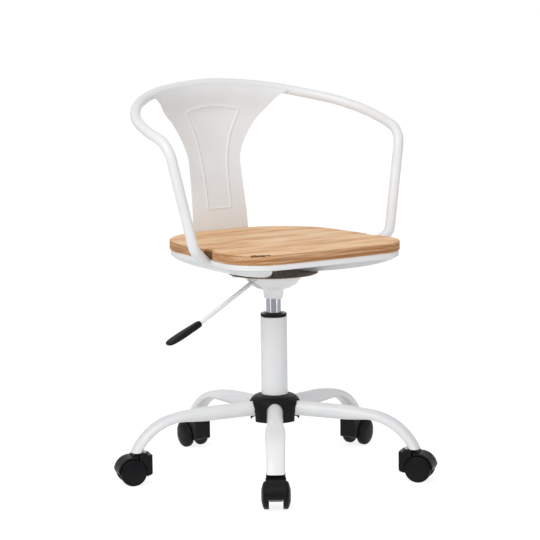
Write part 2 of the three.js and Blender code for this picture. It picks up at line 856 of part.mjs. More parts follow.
function mechanismHousing() {
  const { wall } = housing;
  const outerProfile = [
    [0, neckBottom],
    [housing.neckRadius, neckBottom],
    [housing.neckRadius, collarBottom],
    [housing.collarRadius, collarBottom],
    [housing.collarRadius, housingTop - housing.bellyDrop - 2 * wall],
    [housing.bellyRadius, housingTop - housing.bellyDrop],
    [housing.flankRadius, housingTop - housing.flankDrop],
    [housing.shoulderRadius, housingTop - housing.shoulderDrop],
    [housing.bowlRadius, housingTop - wall],
    [housing.bowlRadius, housingTop],
    [0, housingTop],
  ];
  const innerProfile = [
    [0, housingTop - housing.bellyDrop - wall],
    [socketRadius + wall, housingTop - housing.bellyDrop - wall],
    [housing.bellyRadius - wall, housingTop - housing.bellyDrop + wall],
    [housing.flankRadius - wall, housingTop - housing.flankDrop + wall],
    [housing.shoulderRadius - wall, housingTop - housing.shoulderDrop + wall],
    [housing.bowlRadius - 2 * wall, housingTop + overrun],
    [0, housingTop + overrun],
  ];
  const outside = turned(outerProfile, turnedSides).subtract(facetWedge(0));
  const inside = turned(innerProfile, turnedSides).subtract(facetWedge(wall));
  const socketTop = gasTop - gap;
  const socket = rod(socketRadius, neckBottom + overrun, socketTop, gasSides);
  const earTop = leverHeight + lever.pinRadius + housing.earThickness;
  const ears = [-1, 1].map((side) => {
    const inner = side * (lever.rodRadius + gap);
    const outer = side * (lever.rodRadius + gap + housing.earThickness);
    const [y0, y1] = [Math.min(inner, outer), Math.max(inner, outer)];
    const pinEdge = lever.pinReach + lever.pinRadius + housing.earThickness;
    const foot = facetLow + housing.earReach;
    return block(-pinEdge, -gas.radius - 2 * gap, y0, y1, foot, earTop);
  });
  const pinHole = rod(lever.pinRadius + gap, -housing.bowlRadius, housing.bowlRadius, boreSides)
    .rotate([90, 0, 0])
    .translate([-lever.pinReach, 0, leverHeight]);
  const slot = block(
    -housing.bowlRadius,
    -lever.pinReach - lever.pinRadius - housing.earThickness,
    -housing.slotHalfWidth,
    housing.slotHalfWidth,
    leverHeight - housing.slotDrop,
    leverHeight + lever.rodRadius + gap,
  );
  const body = outside
    .subtract(inside)
    .add(socket)
    .add(ears[0])
    .add(ears[1])
    .subtract(rod(gas.radius + gap, 0, socketTop + overrun, gasSides))
    .subtract(pinHole)
    .subtract(slot);
  return piece("mechanism_housing", body, "whitePaint");
}

function leverPin() {
  const body = rod(lever.pinRadius, -lever.pinHalfLength, lever.pinHalfLength, boreSides)
    .rotate([90, 0, 0])
    .translate([-lever.pinReach, 0, leverHeight]);
  return piece("lever_pin", body, "greySteel");
}

function leverPoint(reach, height) {
  return new THREE.Vector3(-reach, 0, height);
}

function leverRodPath() {
  const direction = leverPoint(lever.jointReach, leverHeight - lever.jointDrop)
    .sub(leverPoint(lever.bendReach, leverHeight))
    .normalize();
  const joint = leverPoint(lever.jointReach, leverHeight - lever.jointDrop);
  const end = joint.addScaledVector(direction, lever.gripOverlap);
  const corners = [
    { at: leverPoint(-lever.innerReach, leverHeight), radius: 0 },
    { at: leverPoint(lever.bendReach, leverHeight), radius: lever.bendRadius },
    { at: end, radius: 0 },
  ];
  return filletedPath(corners, leverSteps);
}

function leverRod() {
  const sideways = new THREE.Vector3(0, 1, 0);
  const pinHole = rod(lever.pinRadius + gap, -2 * lever.rodRadius, 2 * lever.rodRadius, boreSides)
    .rotate([90, 0, 0])
    .translate([-lever.pinReach, 0, leverHeight]);
  const body = sweep(leverRodPath(), tubeSides, roundSection(lever.rodRadius), sideways);
  return piece("lever_rod", body.subtract(pinHole), "greySteel");
}

function leverGrip() {
  const sideways = new THREE.Vector3(0, 1, 0);
  const root = leverPoint(lever.jointReach, leverHeight - lever.jointDrop);
  const tip = leverPoint(lever.tipReach, leverHeight - lever.tipDrop);
  const path = gripShares.map(([share]) => root.clone().lerp(tip, share));
  const section = (ring, angle) => {
    const [, widthShare, thicknessShare] = gripShares[ring];
    return [
      (squared(Math.cos(angle), gripSquareness) * widthShare * lever.gripWidth) / 2,
      (squared(Math.sin(angle), gripSquareness) * thicknessShare * lever.gripThickness) / 2,
    ];
  };
  const blank = sweep(path, tubeSides, section, sideways);
  const rodPath = leverRodPath();
  const end = rodPath.at(-1);
  const back = rodPath.at(-2);
  const direction = end.clone().sub(back).normalize();
  const borePath = [
    root.clone().addScaledVector(direction, -lever.gripOverlap),
    end.clone().addScaledVector(direction, gap),
  ];
  const bore = sweep(borePath, tubeSides, roundSection(lever.rodRadius + gap), sideways);
  return piece("lever_grip", blank.subtract(bore), "blackNylon");
}

// Gas lift

function valveButton() {
  const low = gasTop - gas.endThickness - overrun;
  const high = leverHeight - lever.rodRadius - gap;
  return piece("valve_button", rod(gas.buttonRadius, low, high, smallSides), "greySteel");
}

function gasCylinder() {
  const bore = gas.radius - gas.wall;
  const buttonHole = gas.buttonRadius + 2 * gap;
  const rodHole = gas.rodRadius + 2 * gap;
  const profile = [
    [rodHole, gas.bottom],
    [gas.radius, gas.bottom],
    [gas.radius, gasTop],
    [buttonHole, gasTop],
    [buttonHole, gasTop - gas.endThickness],
    [bore, gasTop - gas.endThickness],
    [bore, gas.bottom + gas.endThickness],
    [rodHole, gas.bottom + gas.endThickness],
  ];
  return piece("gas_cylinder", turned(profile, gasSides), "chrome");
}

function pistonRod() {
  const bearingTop = column.bottom + column.floor + gap + bearing.height;
  const grooveTop = column.bottom - gap / 2;
  const grooveBottom = grooveTop - gas.grooveHeight;
  const profile = [
    [0, grooveBottom - gas.endLength],
    [gas.rodRadius, grooveBottom - gas.endLength],
    [gas.rodRadius, grooveBottom],
    [gas.grooveRadius, grooveBottom],
    [gas.grooveRadius, grooveTop],
    [gas.rodRadius, grooveTop],
    [gas.rodRadius, bearingTop + gap],
    [gas.shoulderRadius, bearingTop + gap],
    [gas.shoulderRadius, bearingTop + gap + gas.shoulderHeight],
    [gas.rodRadius, bearingTop + gap + gas.shoulderHeight],
    [gas.rodRadius, gas.pistonBottom],
    [gas.pistonRadius, gas.pistonBottom],
    [gas.pistonRadius, gas.pistonBottom + gas.pistonThickness],
    [0, gas.pistonBottom + gas.pistonThickness],
  ];
  return piece("piston_rod", turned(profile, smallSides), "greySteel");
}

function thrustBearing() {
  const low = column.bottom + column.floor + gap;
  const hole = gas.rodRadius + 2 * gap;
  const profile = [
    [hole, low],
    [bearing.radius, low],
    [bearing.radius, low + bearing.height],
    [hole, low + bearing.height],
  ];
  return piece("thrust_bearing", turned(profile, ringSides), "greySteel");
}

function retainingClip() {
  const high = column.bottom - gap;
  const low = high - clip.thickness;
  const hole = gas.grooveRadius + gap;
  const profile = [[hole, low], [clip.radius, low], [clip.radius, high], [hole, high]];
  const ring = turned(profile, ringSides);
  const side = clip.mouth / 2;
  const mouth = block(0, clip.radius + overrun, -side, side, low - overrun, high + overrun);
  return piece("retaining_clip", ring.subtract(mouth), "greySteel");
}

// Column

function columnTube() {
  const hole = gas.rodRadius + 2 * gap;
  const profile = [
    [hole, column.bottom],
    [column.radius, column.bottom],
    [column.radius, column.top],
    [columnBore, column.top],
    [columnBore, column.bottom + column.floor],
    [hole, column.bottom + column.floor],
  ];
  return piece("column_tube", turned(profile, turnedSides), "whitePaint");
}

function guideBush() {
  const bore = gas.radius + bush.clearance;
  const sleeve = columnBore - gap;
  const seat = column.top + gap;
  const flangeTop = seat + bush.flangeThickness;
  const collarTop = flangeTop + bush.collarHeight;
  const profile = [
    [bore, seat - bush.length],
    [sleeve, seat - bush.length],
    [sleeve, seat],
    [column.radius - bush.edge, seat],
    [column.radius, seat + bush.edge],
    [column.radius, flangeTop - bush.edge],
    [column.radius - bush.edge, flangeTop],
    [bush.collarRadius, flangeTop],
    [bush.collarRadius, collarTop],
    [bore, collarTop],
  ];
  return piece("guide_bush", turned(profile, gasSides), "blackAcetal");
}

// Base

function hubCore() {
  const bore = column.radius + gap;
  const profile = [
    [bore, hub.coreBottom],
    [hub.coreRadius, hub.coreBottom],
    [hub.coreRadius, hub.coreTop],
    [bore, hub.coreTop],
  ];
  return piece("hub_core", turned(profile, hubSides), "whitePaint");
}

function hubCover() {
  const { wall } = cover;
  const bore = column.radius + gap;
  const outline = (drawIn) => [
    [cover.footRadius - drawIn, cover.footHeight],
    [cover.waistRadius - drawIn, cover.waistHeight - drawIn / 2],
    [cover.shoulderRadius - drawIn, cover.top - cover.shoulderDrop - drawIn / 2],
    [cover.crownRadius - drawIn / 2, cover.top - cover.crownDrop - drawIn],
    [bore, cover.top - drawIn],
  ];
  const profile = [...outline(0), ...outline(wall).reverse()];
  let body = turned(profile, hubSides);
  const arch = new THREE.Shape();
  const spring = leg.hubHeight;
  arch.moveTo(cover.footHeight - overrun, -cover.archHalfWidth);
  arch.lineTo(spring, -cover.archHalfWidth);
  arch.absarc(spring, 0, cover.archHalfWidth, -Math.PI / 2, Math.PI / 2, false);
  arch.lineTo(cover.footHeight - overrun, cover.archHalfWidth);
  // The arch is drawn lying down, its height along X. The turn stands it up, and it cuts towards -X.
  const options = { depth: cover.waistRadius, bevelEnabled: false, curveSegments: 2 * cornerSteps - 1 };
  const cutter = new THREE.ExtrudeGeometry(arch, options).rotateY(-Math.PI / 2).translate(-bore, 0, 0);
  const openings = around(leg.count, leg.firstAngle + 90, (number, angle) =>
    solid(cutter).rotate([0, 0, angle]),
  );
  for (const opening of openings) body = body.subtract(opening);
  return piece("hub_cover", body, "blackNylon");
}

// A leg's centre line, outwards along X.
function legPath(extra) {
  const steep = THREE.MathUtils.degToRad(leg.bendAngle);
  const straight = (reach) => {
    return new THREE.Vector3(reach, 0, leg.hubHeight - (reach - legStart) * Math.tan(legSlope));
  };
  const spoke = (angle) => new THREE.Vector3(Math.sin(angle), 0, Math.cos(angle));
  const centre = straight(leg.bendStart).addScaledVector(spoke(legSlope), -leg.bendRadius);
  const arc = (angle) => centre.clone().addScaledVector(spoke(angle), leg.bendRadius);
  const points = [straight(legStart - extra), straight(leg.pressStart)];
  for (let i = 1; i <= pressSteps; i++) {
    points.push(straight(leg.pressStart + ((leg.bendStart - leg.pressStart) * i) / pressSteps));
  }
  for (let i = 1; i <= legArcSteps; i++) {
    points.push(arc(legSlope + ((steep - legSlope) * i) / legArcSteps));
  }
  const end = points.at(-1);
  const way = new THREE.Vector3(Math.cos(steep), 0, -Math.sin(steep));
  points.push(end.clone().addScaledVector(way, leg.flatHalfThickness + overrun));
  return points;
}

function legBody(drawIn, sides, extra) {
  const path = legPath(extra);
  const headings = headingsAlong(path);
  const { clamp, smoothstep } = THREE.MathUtils;
  const rings = path.map((point, i) => {
    const up = new THREE.Vector3(-headings[i].z, 0, headings[i].x);
    const press = smoothstep(point.x, leg.pressStart, leg.pressEnd);
    const narrow = clamp((point.x - leg.pressEnd) / (caster.ring - leg.pressEnd), 0, 1);
    const flatWidth = leg.flatHalfWidth + (leg.endHalfWidth - leg.flatHalfWidth) * narrow;
    const halfWidth = leg.radius + (flatWidth - leg.radius) * press - drawIn;
    const halfHeight = leg.radius + (leg.flatHalfThickness - leg.radius) * press - drawIn;
    const squareness = 2 + (legSquareness - 2) * press;
    return Array.from({ length: sides }, (unused, k) => {
      const angle = (2 * Math.PI * (k + 0.5)) / sides;
      const side = new THREE.Vector3(0, squared(Math.cos(angle), squareness) * halfWidth, 0);
      const rise = squared(Math.sin(angle), squareness) * halfHeight;
      return point.clone().add(side).addScaledVector(up, rise);
    });
  });
  return loft(rings);
}

function legMesh(number, angle) {
  const below = block(0, 2 * caster.ring, -leg.bendStart, leg.bendStart, 0, leg.end);
  const socket = rod(leg.socketRadius, leg.end, leg.socketTop, smallSides).translate([caster.ring, 0, 0]);
  const hole = rod(
    caster.stemRadius + 2 * gap,
    leg.end - overrun,
    caster.stemTop + gap,
    smallSides,
  ).translate([caster.ring, 0, 0]);
  const outside = legBody(0, tubeSides, 0).subtract(below);
  const bore = legBody(leg.wall, boreSides, overrun);
  const body = outside.subtract(bore).add(socket.intersect(outside)).subtract(hole);
  return placed(piece(`leg_${number}`, body, "whitePaint"), angle, 0);
}

// Turns a piece made along X to a leg's direction, with its own origin out along it.
function placed(mesh, angle, reach) {
  const turn = THREE.MathUtils.degToRad(angle - 90);
  mesh.rotation.z = turn;
  mesh.position.set(reach * Math.cos(turn), reach * Math.sin(turn), 0);
  return mesh;
}

// Casters

function casterStem(number, angle) {
  const top = caster.stemTop;
  const profile = [
    [0, caster.blockTop - caster.stemDepth],
    [caster.stemRadius, caster.blockTop - caster.stemDepth],
    [caster.stemRadius, caster.blockTop + gap],
    [caster.collarRadius, caster.blockTop + gap],
    [caster.collarRadius, leg.end - gap],
    [caster.stemRadius, leg.end - gap],
    [caster.stemRadius, top - caster.stemTipLength],
    [caster.stemRadius - caster.stemTipLength / 2, top],
    [0, top],
  ];
  const stem = piece(`caster_stem_${number}`, turned(profile, smallSides), "greySteel");
  return placed(stem, angle, caster.ring);
}

// The hood's side view: the stem block, and the guard that follows the wheels.
function hoodProfile(bottom) {
  const { trail, wheelRadius } = caster;
  const startAngle = Math.acos((caster.blockRadius - trail) / hoodRadius);
  const tailAngle = Math.asin((caster.tailHeight + caster.tailCut - wheelRadius) / hoodRadius);
  const guard = Array.from({ length: hoodSteps + 1 }, (unused, k) => {
    const angle = startAngle + ((tailAngle - startAngle) * k) / hoodSteps;
    return [trail + hoodRadius * Math.cos(angle), wheelRadius + hoodRadius * Math.sin(angle)];
  });
  const front = -caster.blockRadius;
  const rear = caster.blockRadius;
  return [
    [front, caster.blockFoot],
    ...bottom,
    ...guard.reverse(),
    [rear, caster.blockTop],
    [front, caster.blockTop],
  ];
}

function casterHood(number, angle) {
  const { trail, wheelRadius, spineRun } = caster;
  const keel = [-caster.keelReach, caster.keelHeight];
  const tail = [trail + caster.tailReach, caster.tailHeight];
  const spineFloor = [
    keel,
    [trail - spineRun, caster.spineBottom],
    [trail + spineRun, caster.spineBottom],
    tail,
  ];
  const profile = hoodProfile(spineFloor);
  const spine = sidePrism(profile, -caster.spineHalfWidth, caster.spineHalfWidth);
  const wheelSpace = rod(wheelClearance, -2 * caster.hoodHalfWidth, 2 * caster.hoodHalfWidth, turnedSides)
    .rotate([90, 0, 0])
    .translate([trail, 0, wheelRadius]);
  const blockSide = sidePrism(profile, -caster.blockRadius, caster.blockRadius);
  const behindBlock = block(0, 2 * caster.ring, -2 * trail, 2 * trail, 0, wheelRadius + hoodRadius);
  const round = rod(caster.blockRadius, 0, 2 * caster.blockTop, turnedSides).add(behindBlock);
  const guardSide = sidePrism(profile, -caster.hoodHalfWidth, caster.hoodHalfWidth);
  const beforeStem = block(-2 * trail, trail / 2, -2 * trail, 2 * trail, 0, 2 * caster.blockTop);
  const wide = blockSide.add(guardSide.subtract(beforeStem)).intersect(round).subtract(wheelSpace);
  const boreFoot = caster.blockTop - caster.stemDepth - gap;
  const bore = rod(caster.stemRadius + gap, boreFoot, caster.blockTop + overrun, smallSides);
  const axleHole = rod(caster.axleRadius + gap, -trail, trail, boreSides)
    .rotate([90, 0, 0])
    .translate([trail, 0, wheelRadius]);
  const body = spine.intersect(round).add(wide).subtract(bore).subtract(axleHole);
  return placed(piece(`caster_hood_${number}`, body, "blackNylon"), angle, caster.ring);
}

// A wheel round the axle: tread, rounded shoulder and a slightly domed disc, with a blind bore.
function wheelGeometry() {
  const { treadOutside, wheelInside, wheelOutside, discRadius } = caster;
  const facet = 1 / Math.cos(Math.PI / wheelSides);
  const bore = (caster.axleRadius + caster.clearance) / Math.cos(Math.PI / wheelSides);
  const disc = wheelOutside - caster.domeDrop;
  const shoulder = (caster.wheelRadius + discRadius) / 2;
  const profile = [
    [0, caster.axleHalfLength + caster.clearance],
    [bore, caster.axleHalfLength + caster.clearance],
    [bore, wheelInside],
    [caster.wheelRadius * facet, wheelInside],
    [caster.wheelRadius * facet, treadOutside],
    [shoulder * facet, (treadOutside + disc) / 2 + caster.discStep],
    [discRadius, disc],
    [discRadius - caster.discStep, disc + caster.discStep],
    [0, wheelOutside],
  ];
  const points = profile.map(([radius, reach]) => new THREE.Vector2(radius, reach));
  return new THREE.LatheGeometry(points, wheelSides).rotateY(Math.PI / wheelSides);
}

function casterWheel(number, angle, side) {
  const geometry = wheelGeometry();
  if (side < 0) geometry.rotateX(Math.PI);
  const body = solid(geometry).translate([caster.trail, 0, caster.wheelRadius]);
  const name = `caster_wheel_${number}_${side > 0 ? "left" : "right"}`;
  return placed(piece(name, body, "blackNylon"), angle, caster.ring);
}

function casterAxle(number, angle) {
  const body = rod(caster.axleRadius, -caster.axleHalfLength, caster.axleHalfLength, boreSides)
    .rotate([90, 0, 0])
    .translate([caster.trail, 0, caster.wheelRadius]);
  return placed(piece(`caster_axle_${number}`, body, "greySteel"), angle, caster.ring);
}

// Assembly

const chair = new THREE.Group();
const aboutAxis = new THREE.Group();
aboutAxis.position.y = -axisSetback;
chair.add(aboutAxis);

aboutAxis.add(seatBoard(), seatPan(), seatUnderframe(), armHoop(), backSplat());
aboutAxis.add(...quarters.map((quarter) => seatScrew(...quarter)));
aboutAxis.add(mountPlate(), mechanismHousing());
aboutAxis.add(...quarters.map((quarter) => plateBolt(...quarter)));
aboutAxis.add(leverRod(), leverGrip(), leverPin(), valveButton());
aboutAxis.add(gasCylinder(), pistonRod(), thrustBearing(), retainingClip());
aboutAxis.add(columnTube(), guideBush(), hubCore(), hubCover());
aboutAxis.add(...around(leg.count, leg.firstAngle, legMesh));
aboutAxis.add(...around(leg.count, leg.firstAngle, casterStem));
aboutAxis.add(...around(leg.count, leg.firstAngle, casterHood));
aboutAxis.add(...around(leg.count, leg.firstAngle, casterAxle));
for (const side of [-1, 1]) {
  aboutAxis.add(...around(leg.count, leg.firstAngle, (number, angle) => casterWheel(number, angle, side)));
}

export default chair;
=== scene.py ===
"""The looks of a white steel swivel armchair with a wooden seat board, built around its CAD frame.

Shapes are made in millimetres from the swivel axis and become metres in the frame's own place.
"""

from math import acos, asin, copysign, cos, hypot, pi, radians, sin, sqrt, tan
from types import SimpleNamespace as Sizes

import bmesh
import bpy
import numpy as np
from mathutils import Matrix, Vector


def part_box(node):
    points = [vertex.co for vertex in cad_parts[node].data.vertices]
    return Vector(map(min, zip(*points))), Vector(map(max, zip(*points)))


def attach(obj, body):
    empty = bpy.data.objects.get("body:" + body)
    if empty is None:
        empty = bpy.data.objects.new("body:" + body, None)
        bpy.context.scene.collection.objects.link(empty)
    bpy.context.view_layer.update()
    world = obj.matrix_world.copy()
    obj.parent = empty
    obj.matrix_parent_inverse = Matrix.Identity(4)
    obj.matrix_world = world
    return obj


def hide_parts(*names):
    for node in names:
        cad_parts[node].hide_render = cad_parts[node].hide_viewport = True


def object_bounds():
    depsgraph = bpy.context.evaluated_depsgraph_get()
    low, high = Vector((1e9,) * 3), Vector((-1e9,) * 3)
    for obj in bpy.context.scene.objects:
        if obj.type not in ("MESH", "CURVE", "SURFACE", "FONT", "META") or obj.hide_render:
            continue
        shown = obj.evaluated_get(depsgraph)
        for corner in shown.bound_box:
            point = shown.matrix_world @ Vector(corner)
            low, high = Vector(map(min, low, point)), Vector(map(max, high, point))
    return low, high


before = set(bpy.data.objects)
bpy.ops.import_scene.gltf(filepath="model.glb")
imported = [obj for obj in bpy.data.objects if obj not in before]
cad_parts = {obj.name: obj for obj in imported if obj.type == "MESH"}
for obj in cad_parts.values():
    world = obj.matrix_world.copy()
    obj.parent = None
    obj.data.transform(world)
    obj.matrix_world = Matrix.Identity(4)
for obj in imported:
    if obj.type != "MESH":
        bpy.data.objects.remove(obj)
cad_low, cad_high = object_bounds()

MM = 0.001
column_low, column_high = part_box("column_tube")
axis = Vector(((column_low.x + column_high.x) / 2, (column_low.y + column_high.y) / 2, 0))


def local_box(node):
    """A node's lowest and highest corners in millimetres from the swivel axis."""
    low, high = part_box(node)
    return (low - axis) / MM, (high - axis) / MM


# Sizes, in millimetres

gap = 0.3
overrun = 4
board = Sizes(
    top=449.5, bottom=431.5, edge=2.2, front=193, rear=181, front_half_width=190.3, rear_half_width=169.4,
    front_radius=68, rear_radius=135, front_bulge=8.7, rear_bulge=1, side_bulge=0.5, notch_front=80,
    notch_rear=50, notch_inside=176.5, notch_radius=4, notch_edge=1.1,
)
pan = Sizes(inset=2, top=431.2, bottom=420.2, sheet=2, edge=2.5, lip=12)
underframe = Sizes(
    inset=3, sheet=2, floor=387.3, front=30, floor_radius=80, mouth_half_width=131, channel_half_width=52,
    channel_end=48, edge=1.2,
)
# From the floor's edge to the pan: shares of the way outwards and of the rise.
underframe_flank_shares = (
    (0, 0), (0.02, 0.006), (0.07, 0.035), (0.25, 0.15), (0.47, 0.32), (0.7, 0.52), (0.86, 0.7),
    (0.95, 0.84), (0.99, 0.95), (1, 1),
)
tray = Sizes(radius=86, sheet=1.8, bottom=383.2, top=385.8, lip_run=6, lip_lean=1)
bolt = Sizes(
    x=64, y=30, radius=4, head_radius=7.2, head_height=4, chamfer_share=0.12, washer_radius=8.6, washer=0.9,
    length=12,
)
bolt_sides = (("front_left", -1, -1), ("front_right", 1, -1), ("rear_right", 1, 1), ("rear_left", -1, 1))
hoop = Sizes(
    radius=9.5, foot=Vector((176, -58.2, 418.2)), kink=Vector((219.2, -74.3, 452)), kink_radius=25,
    bend=Vector((259, -56.7, 645)), bend_radius=46, back_depth=215.5, back_height=734, foot_cut=417.5,
)
# From the front bend to the middle of the back: shares of half the width, the depth and the rise.
hoop_curve_shares = (
    (1.006, 0.11, 0.092), (1.012, 0.218, 0.192), (0.979, 0.427, 0.394), (0.873, 0.622, 0.582),
    (0.72, 0.791, 0.724), (0.525, 0.914, 0.857), (0.301, 0.979, 0.944), (0, 1, 1),
)
splat = Sizes(
    sheet=2, foot=417, waist_half_width=58, top_half_width=160, top_depth=211.5, ear_half_width=137,
    ear_drop=20, foot_step=8.5, wrap=33, bead_half_width=3.4, bead_height=1.5, bead_corner=2.5,
)
# Rows of the splat from foot to top: share of its height, of its waist width and of its lean.
splat_row_shares = (
    (0, 1.1, 0), (0.05, 1.1, 0.005), (0.11, 1.09, 0.015), (0.18, 1.075, 0.05), (0.27, 1.05, 0.2),
    (0.37, 1.03, 0.42), (0.46, 1.015, 0.62), (0.54, 1.02, 0.79), (0.61, 1.13, 0.89), (0.68, 1.32, 0.95),
    (0.76, 1.61, 1), (0.83, 1.98, 1),
)
# The raised bead on the splat, down its right side: distance from the middle and height.
bead_side = ((62, 680), (50, 656), (40, 633), (33, 606), (29, 577), (27, 545), (26.5, 491))
bead_crown = 690
housing_low, housing_high = local_box("mechanism_housing")
housing = Sizes(
    wall=2, top=housing_high.z, bowl_radius=56, collar_radius=18.9, collar_bottom=344, ring_radius=17.8,
    ring_bottom=339.5, neck_radius=16.2, neck_bottom=housing_low.z, core_radius=17.5, facet_high=371,
    facet_high_reach=49, facet_low=354, facet_low_reach=27, slot_half_width=6.4, slot_drop=16,
    tongue_reach=44, slit_half_width=2.1, insert_depth=0.5, insert_thickness=1.5, edge=0.5,
)
# The bowl from its belly to its shoulder: radius, drop from the top and fillet.
bowl_steps = ((33, 26, 8), (43.5, 20, 10), (51, 11, 8))
# The two slits beside the lever: how far each is to the rear, and its upper end.
housing_slits = ((3.2, 365.5), (-9.2, 372.5))
lever = Sizes(
    rod_radius=4, inner_reach=7, height=375, bend_reach=38, bend_radius=16, joint_reach=163.5,
    joint_height=304.3, pin_reach=30, tip_reach=235, tip_height=272, grip_width=25, grip_thickness=12.5,
    grip_overlap=16,
)
# The grip's sections from the rod to the tip: share of its length, its width and its thickness.
grip_shares = (
    (0, 0.42, 0.78), (0.015, 0.5, 0.9), (0.08, 0.58, 1), (0.3, 0.76, 1), (0.55, 0.93, 0.96),
    (0.78, 1, 0.84), (0.9, 0.94, 0.7), (0.97, 0.72, 0.5), (1, 0.4, 0.28),
)
grip_squareness = 2.6
gas = Sizes(radius=14, edge=0.8)
column = Sizes(radius=25, wall=2, bottom=97, top=301.3, floor=3, floor_bore=6)
bush = Sizes(flange=6.4, edge=1.6, collar_radius=18, collar_height=1.4, length=60, clearance=0.3)
hub = Sizes(core_radius=32, core_bottom=105, core_top=148)
cover = Sizes(
    wall=2.4, top=153, crown_drop=3.5, crown_radius=38, shoulder_drop=9, shoulder_radius=44.5,
    waist_radius=48.5, waist_height=137, foot_radius=46.5, foot_height=102.8, arch_half_width=15.5,
    edge=0.6,
)
leg = Sizes(
    count=5, first_angle=-33.58, radius=14, wall=1.5, hub_height=126.6, slope=radians(2.1), bend_start=180,
    bend_radius=110, bend_angle=radians(61.5), end=61, press_start=130, press_end=207,
    flat_half_thickness=8.3, flat_half_width=18.5, end_half_width=16.8, socket_radius=12, socket_top=84,
    squareness=2.7, edge=0.4,
)
leg.start = hub.core_radius + gap + leg.radius * sin(leg.slope)
caster = Sizes(
    ring=265, trail=19, wheel_radius=25, wheel_inside=12.7, tread_outside=20.3, wheel_outside=26.5,
    disc_radius=22, disc_step=0.7, dome_drop=3.6, hood_half_width=18.6, hood_thickness=3.3, hood_lip=4.1,
    block_radius=17.6, block_top=56.6, block_foot=19.5, foot_radius=5, block_nose=1.5, nose_radius=5,
    cheek_reach=2, cheek_radius=10, cap_reach=11.5, cap_top=60.3, keel_reach=9, keel_height=17,
    spine_half_width=12.2, spine_bottom=15, spine_run=9, tail_reach=26.7, tail_height=23, tail_cut=6,
    hood_edge=0.9, axle_radius=3, stem_radius=5.5, stem_top=82, stem_depth=16, stem_tip=2, collar_radius=10,
    clearance=0.4,
)
caster.hood_radius = caster.wheel_radius + caster.clearance + caster.hood_lip

# Dark places in the wood, in millimetres: how dark, the middle and half the size along X, Y and Z.
notch_shade_and_crack_places = (
    # The two places in the notches are painted shade on the notch walls, partly their end grain.
    (0.88, (-184, -65, 437.5), (7.6, 15.4, 8.5)), (0.88, (184, -65, 437.5), (7.6, 15.4, 8.5)),
    # These three at the front left corner are a crack along the arris.
    (0.95, (-161, -182, 449), (6.5, 5, 2.8)), (0.95, (-150, -188, 449), (6.5, 5, 2.2)),
    (0.9, (-139, -192, 450), (6, 4, 1.6)),
)
notch_shade_and_crack_marks = [
    (share, [axis[i] + place[i] * MM for i in range(3)], [half * MM for half in reach])
    for share, place, reach in notch_shade_and_crack_places
]

# Counts of sides and steps

fillet_steps = 6
side_steps = 16
corner_steps = 14
round_sides = 96
tube_sides = 40
curve_steps = 9
grip_steps = 5
splat_columns = 104
splat_steps = 15
leg_sides = 48
leg_steps = 26
spoke_steps = 3
crease_angle = radians(32)

# Shapes as rings of points


def arc_points(before, corner, after, radius, steps):
    """The arc that rounds a corner between its two neighbours."""
    into = (corner - before).normalized()
    away = (after - corner).normalized()
    angle = into.angle(away)
    start = corner - into * radius * tan(angle / 2)
    inwards = (away - into * into.dot(away)).normalized()
    turns = [angle * k / steps for k in range(steps + 1)]
    return [start + into * radius * sin(turn) + inwards * radius * (1 - cos(turn)) for turn in turns]


def rounded(points):
    """A polyline of (u, v) or (u, v, radius), with an arc at each corner that has a radius."""
    places = [Vector(point[:2]) for point in points]
    made = []
    for i, point in enumerate(points):
        if len(point) > 2 and point[2]:
            following = places[(i + 1) % len(points)]
            made += arc_points(places[i - 1], places[i], following, point[2], fillet_steps)
        else:
            made.append(places[i])
    return made


def skin(rings, loop=False):
    """Vertices and faces through rings of as many points each, with flat ends unless it loops."""
    sides = len(rings[0])
    points = [tuple(point) for ring in rings for point in ring]
    faces = []
    for row in range(len(rings) if loop else len(rings) - 1):
        near = row * sides
        far = (row + 1) % len(rings) * sides
        for side in range(sides):
            other = (side + 1) % sides
            faces.append((near + side, near + other, far + other, far + side))
    if not loop:
        faces.append(tuple(range(sides)))
        faces.append(tuple((len(rings) - 1) * sides + side for side in range(sides)))
    return points, faces


def shares_of(steps):
    """The shares 0, 1 / steps and so on, up to but without 1."""
    return [k / steps for k in range(steps)]


def angles_round(sides):
    return [2 * pi * (k + 0.5) / sides for k in range(sides)]


def turned(profile, sides=round_sides):
    """A body turned round Z from (radius, height); it closes on the axis at radius 0, or on itself."""
    on_axis = profile[0][0] == 0
    angles = angles_round(sides)
    rings = [[(r * cos(a), r * sin(a), height) for a in angles] for r, height in profile if r > 0]
    return skin(rings, loop=not on_axis)


def at_height(outline, height):
    return [(x, y, height) for x, y in outline]


def prism(outline, low, high):
    return skin([at_height(outline, low), at_height(outline, high)])


def side_prism(points, y0, y1):
    """An outline of (x, z) points carried along Y."""
    return skin([[(x, y, z) for x, z in points] for y in (y0, y1)])


def box_shape(x0, x1, y0, y1, z0, z1):
    return prism(((x0, y0), (x1, y0), (x1, y1), (x0, y1)), z0, z1)


def headings_along(path):
    last = len(path) - 1
    return [(path[min(i + 1, last)] - path[max(i - 1, 0)]).normalized() for i in range(len(path))]


def swept(path, section_at):
    """A section carried along a path; section_at(ring, angle) gives (sideways, upwards)."""
    headings = headings_along(path)
    side = Vector((0, 1, 0))
    across = (side - headings[0] * side.dot(headings[0])).normalized()
    rings = []
    for i, point in enumerate(path):
        if i:
            across = headings[i - 1].rotation_difference(headings[i]) @ across
        up = headings[i].cross(across)
        sections = [section_at(i, angle) for angle in angles_round(tube_sides)]
        rings.append([point + across * u + up * v for u, v in sections])
    return skin(rings)


def round_section(radius):
    return lambda ring, angle: (radius * cos(angle), radius * sin(angle))


def squared_point(angle, squareness, across, high):
    """A point of an ellipse that a squareness over 2 turns towards a rectangle."""
    u, v = (copysign(abs(value) ** (2 / squareness), value) for value in (cos(angle), sin(angle)))
    return u * across, v * high


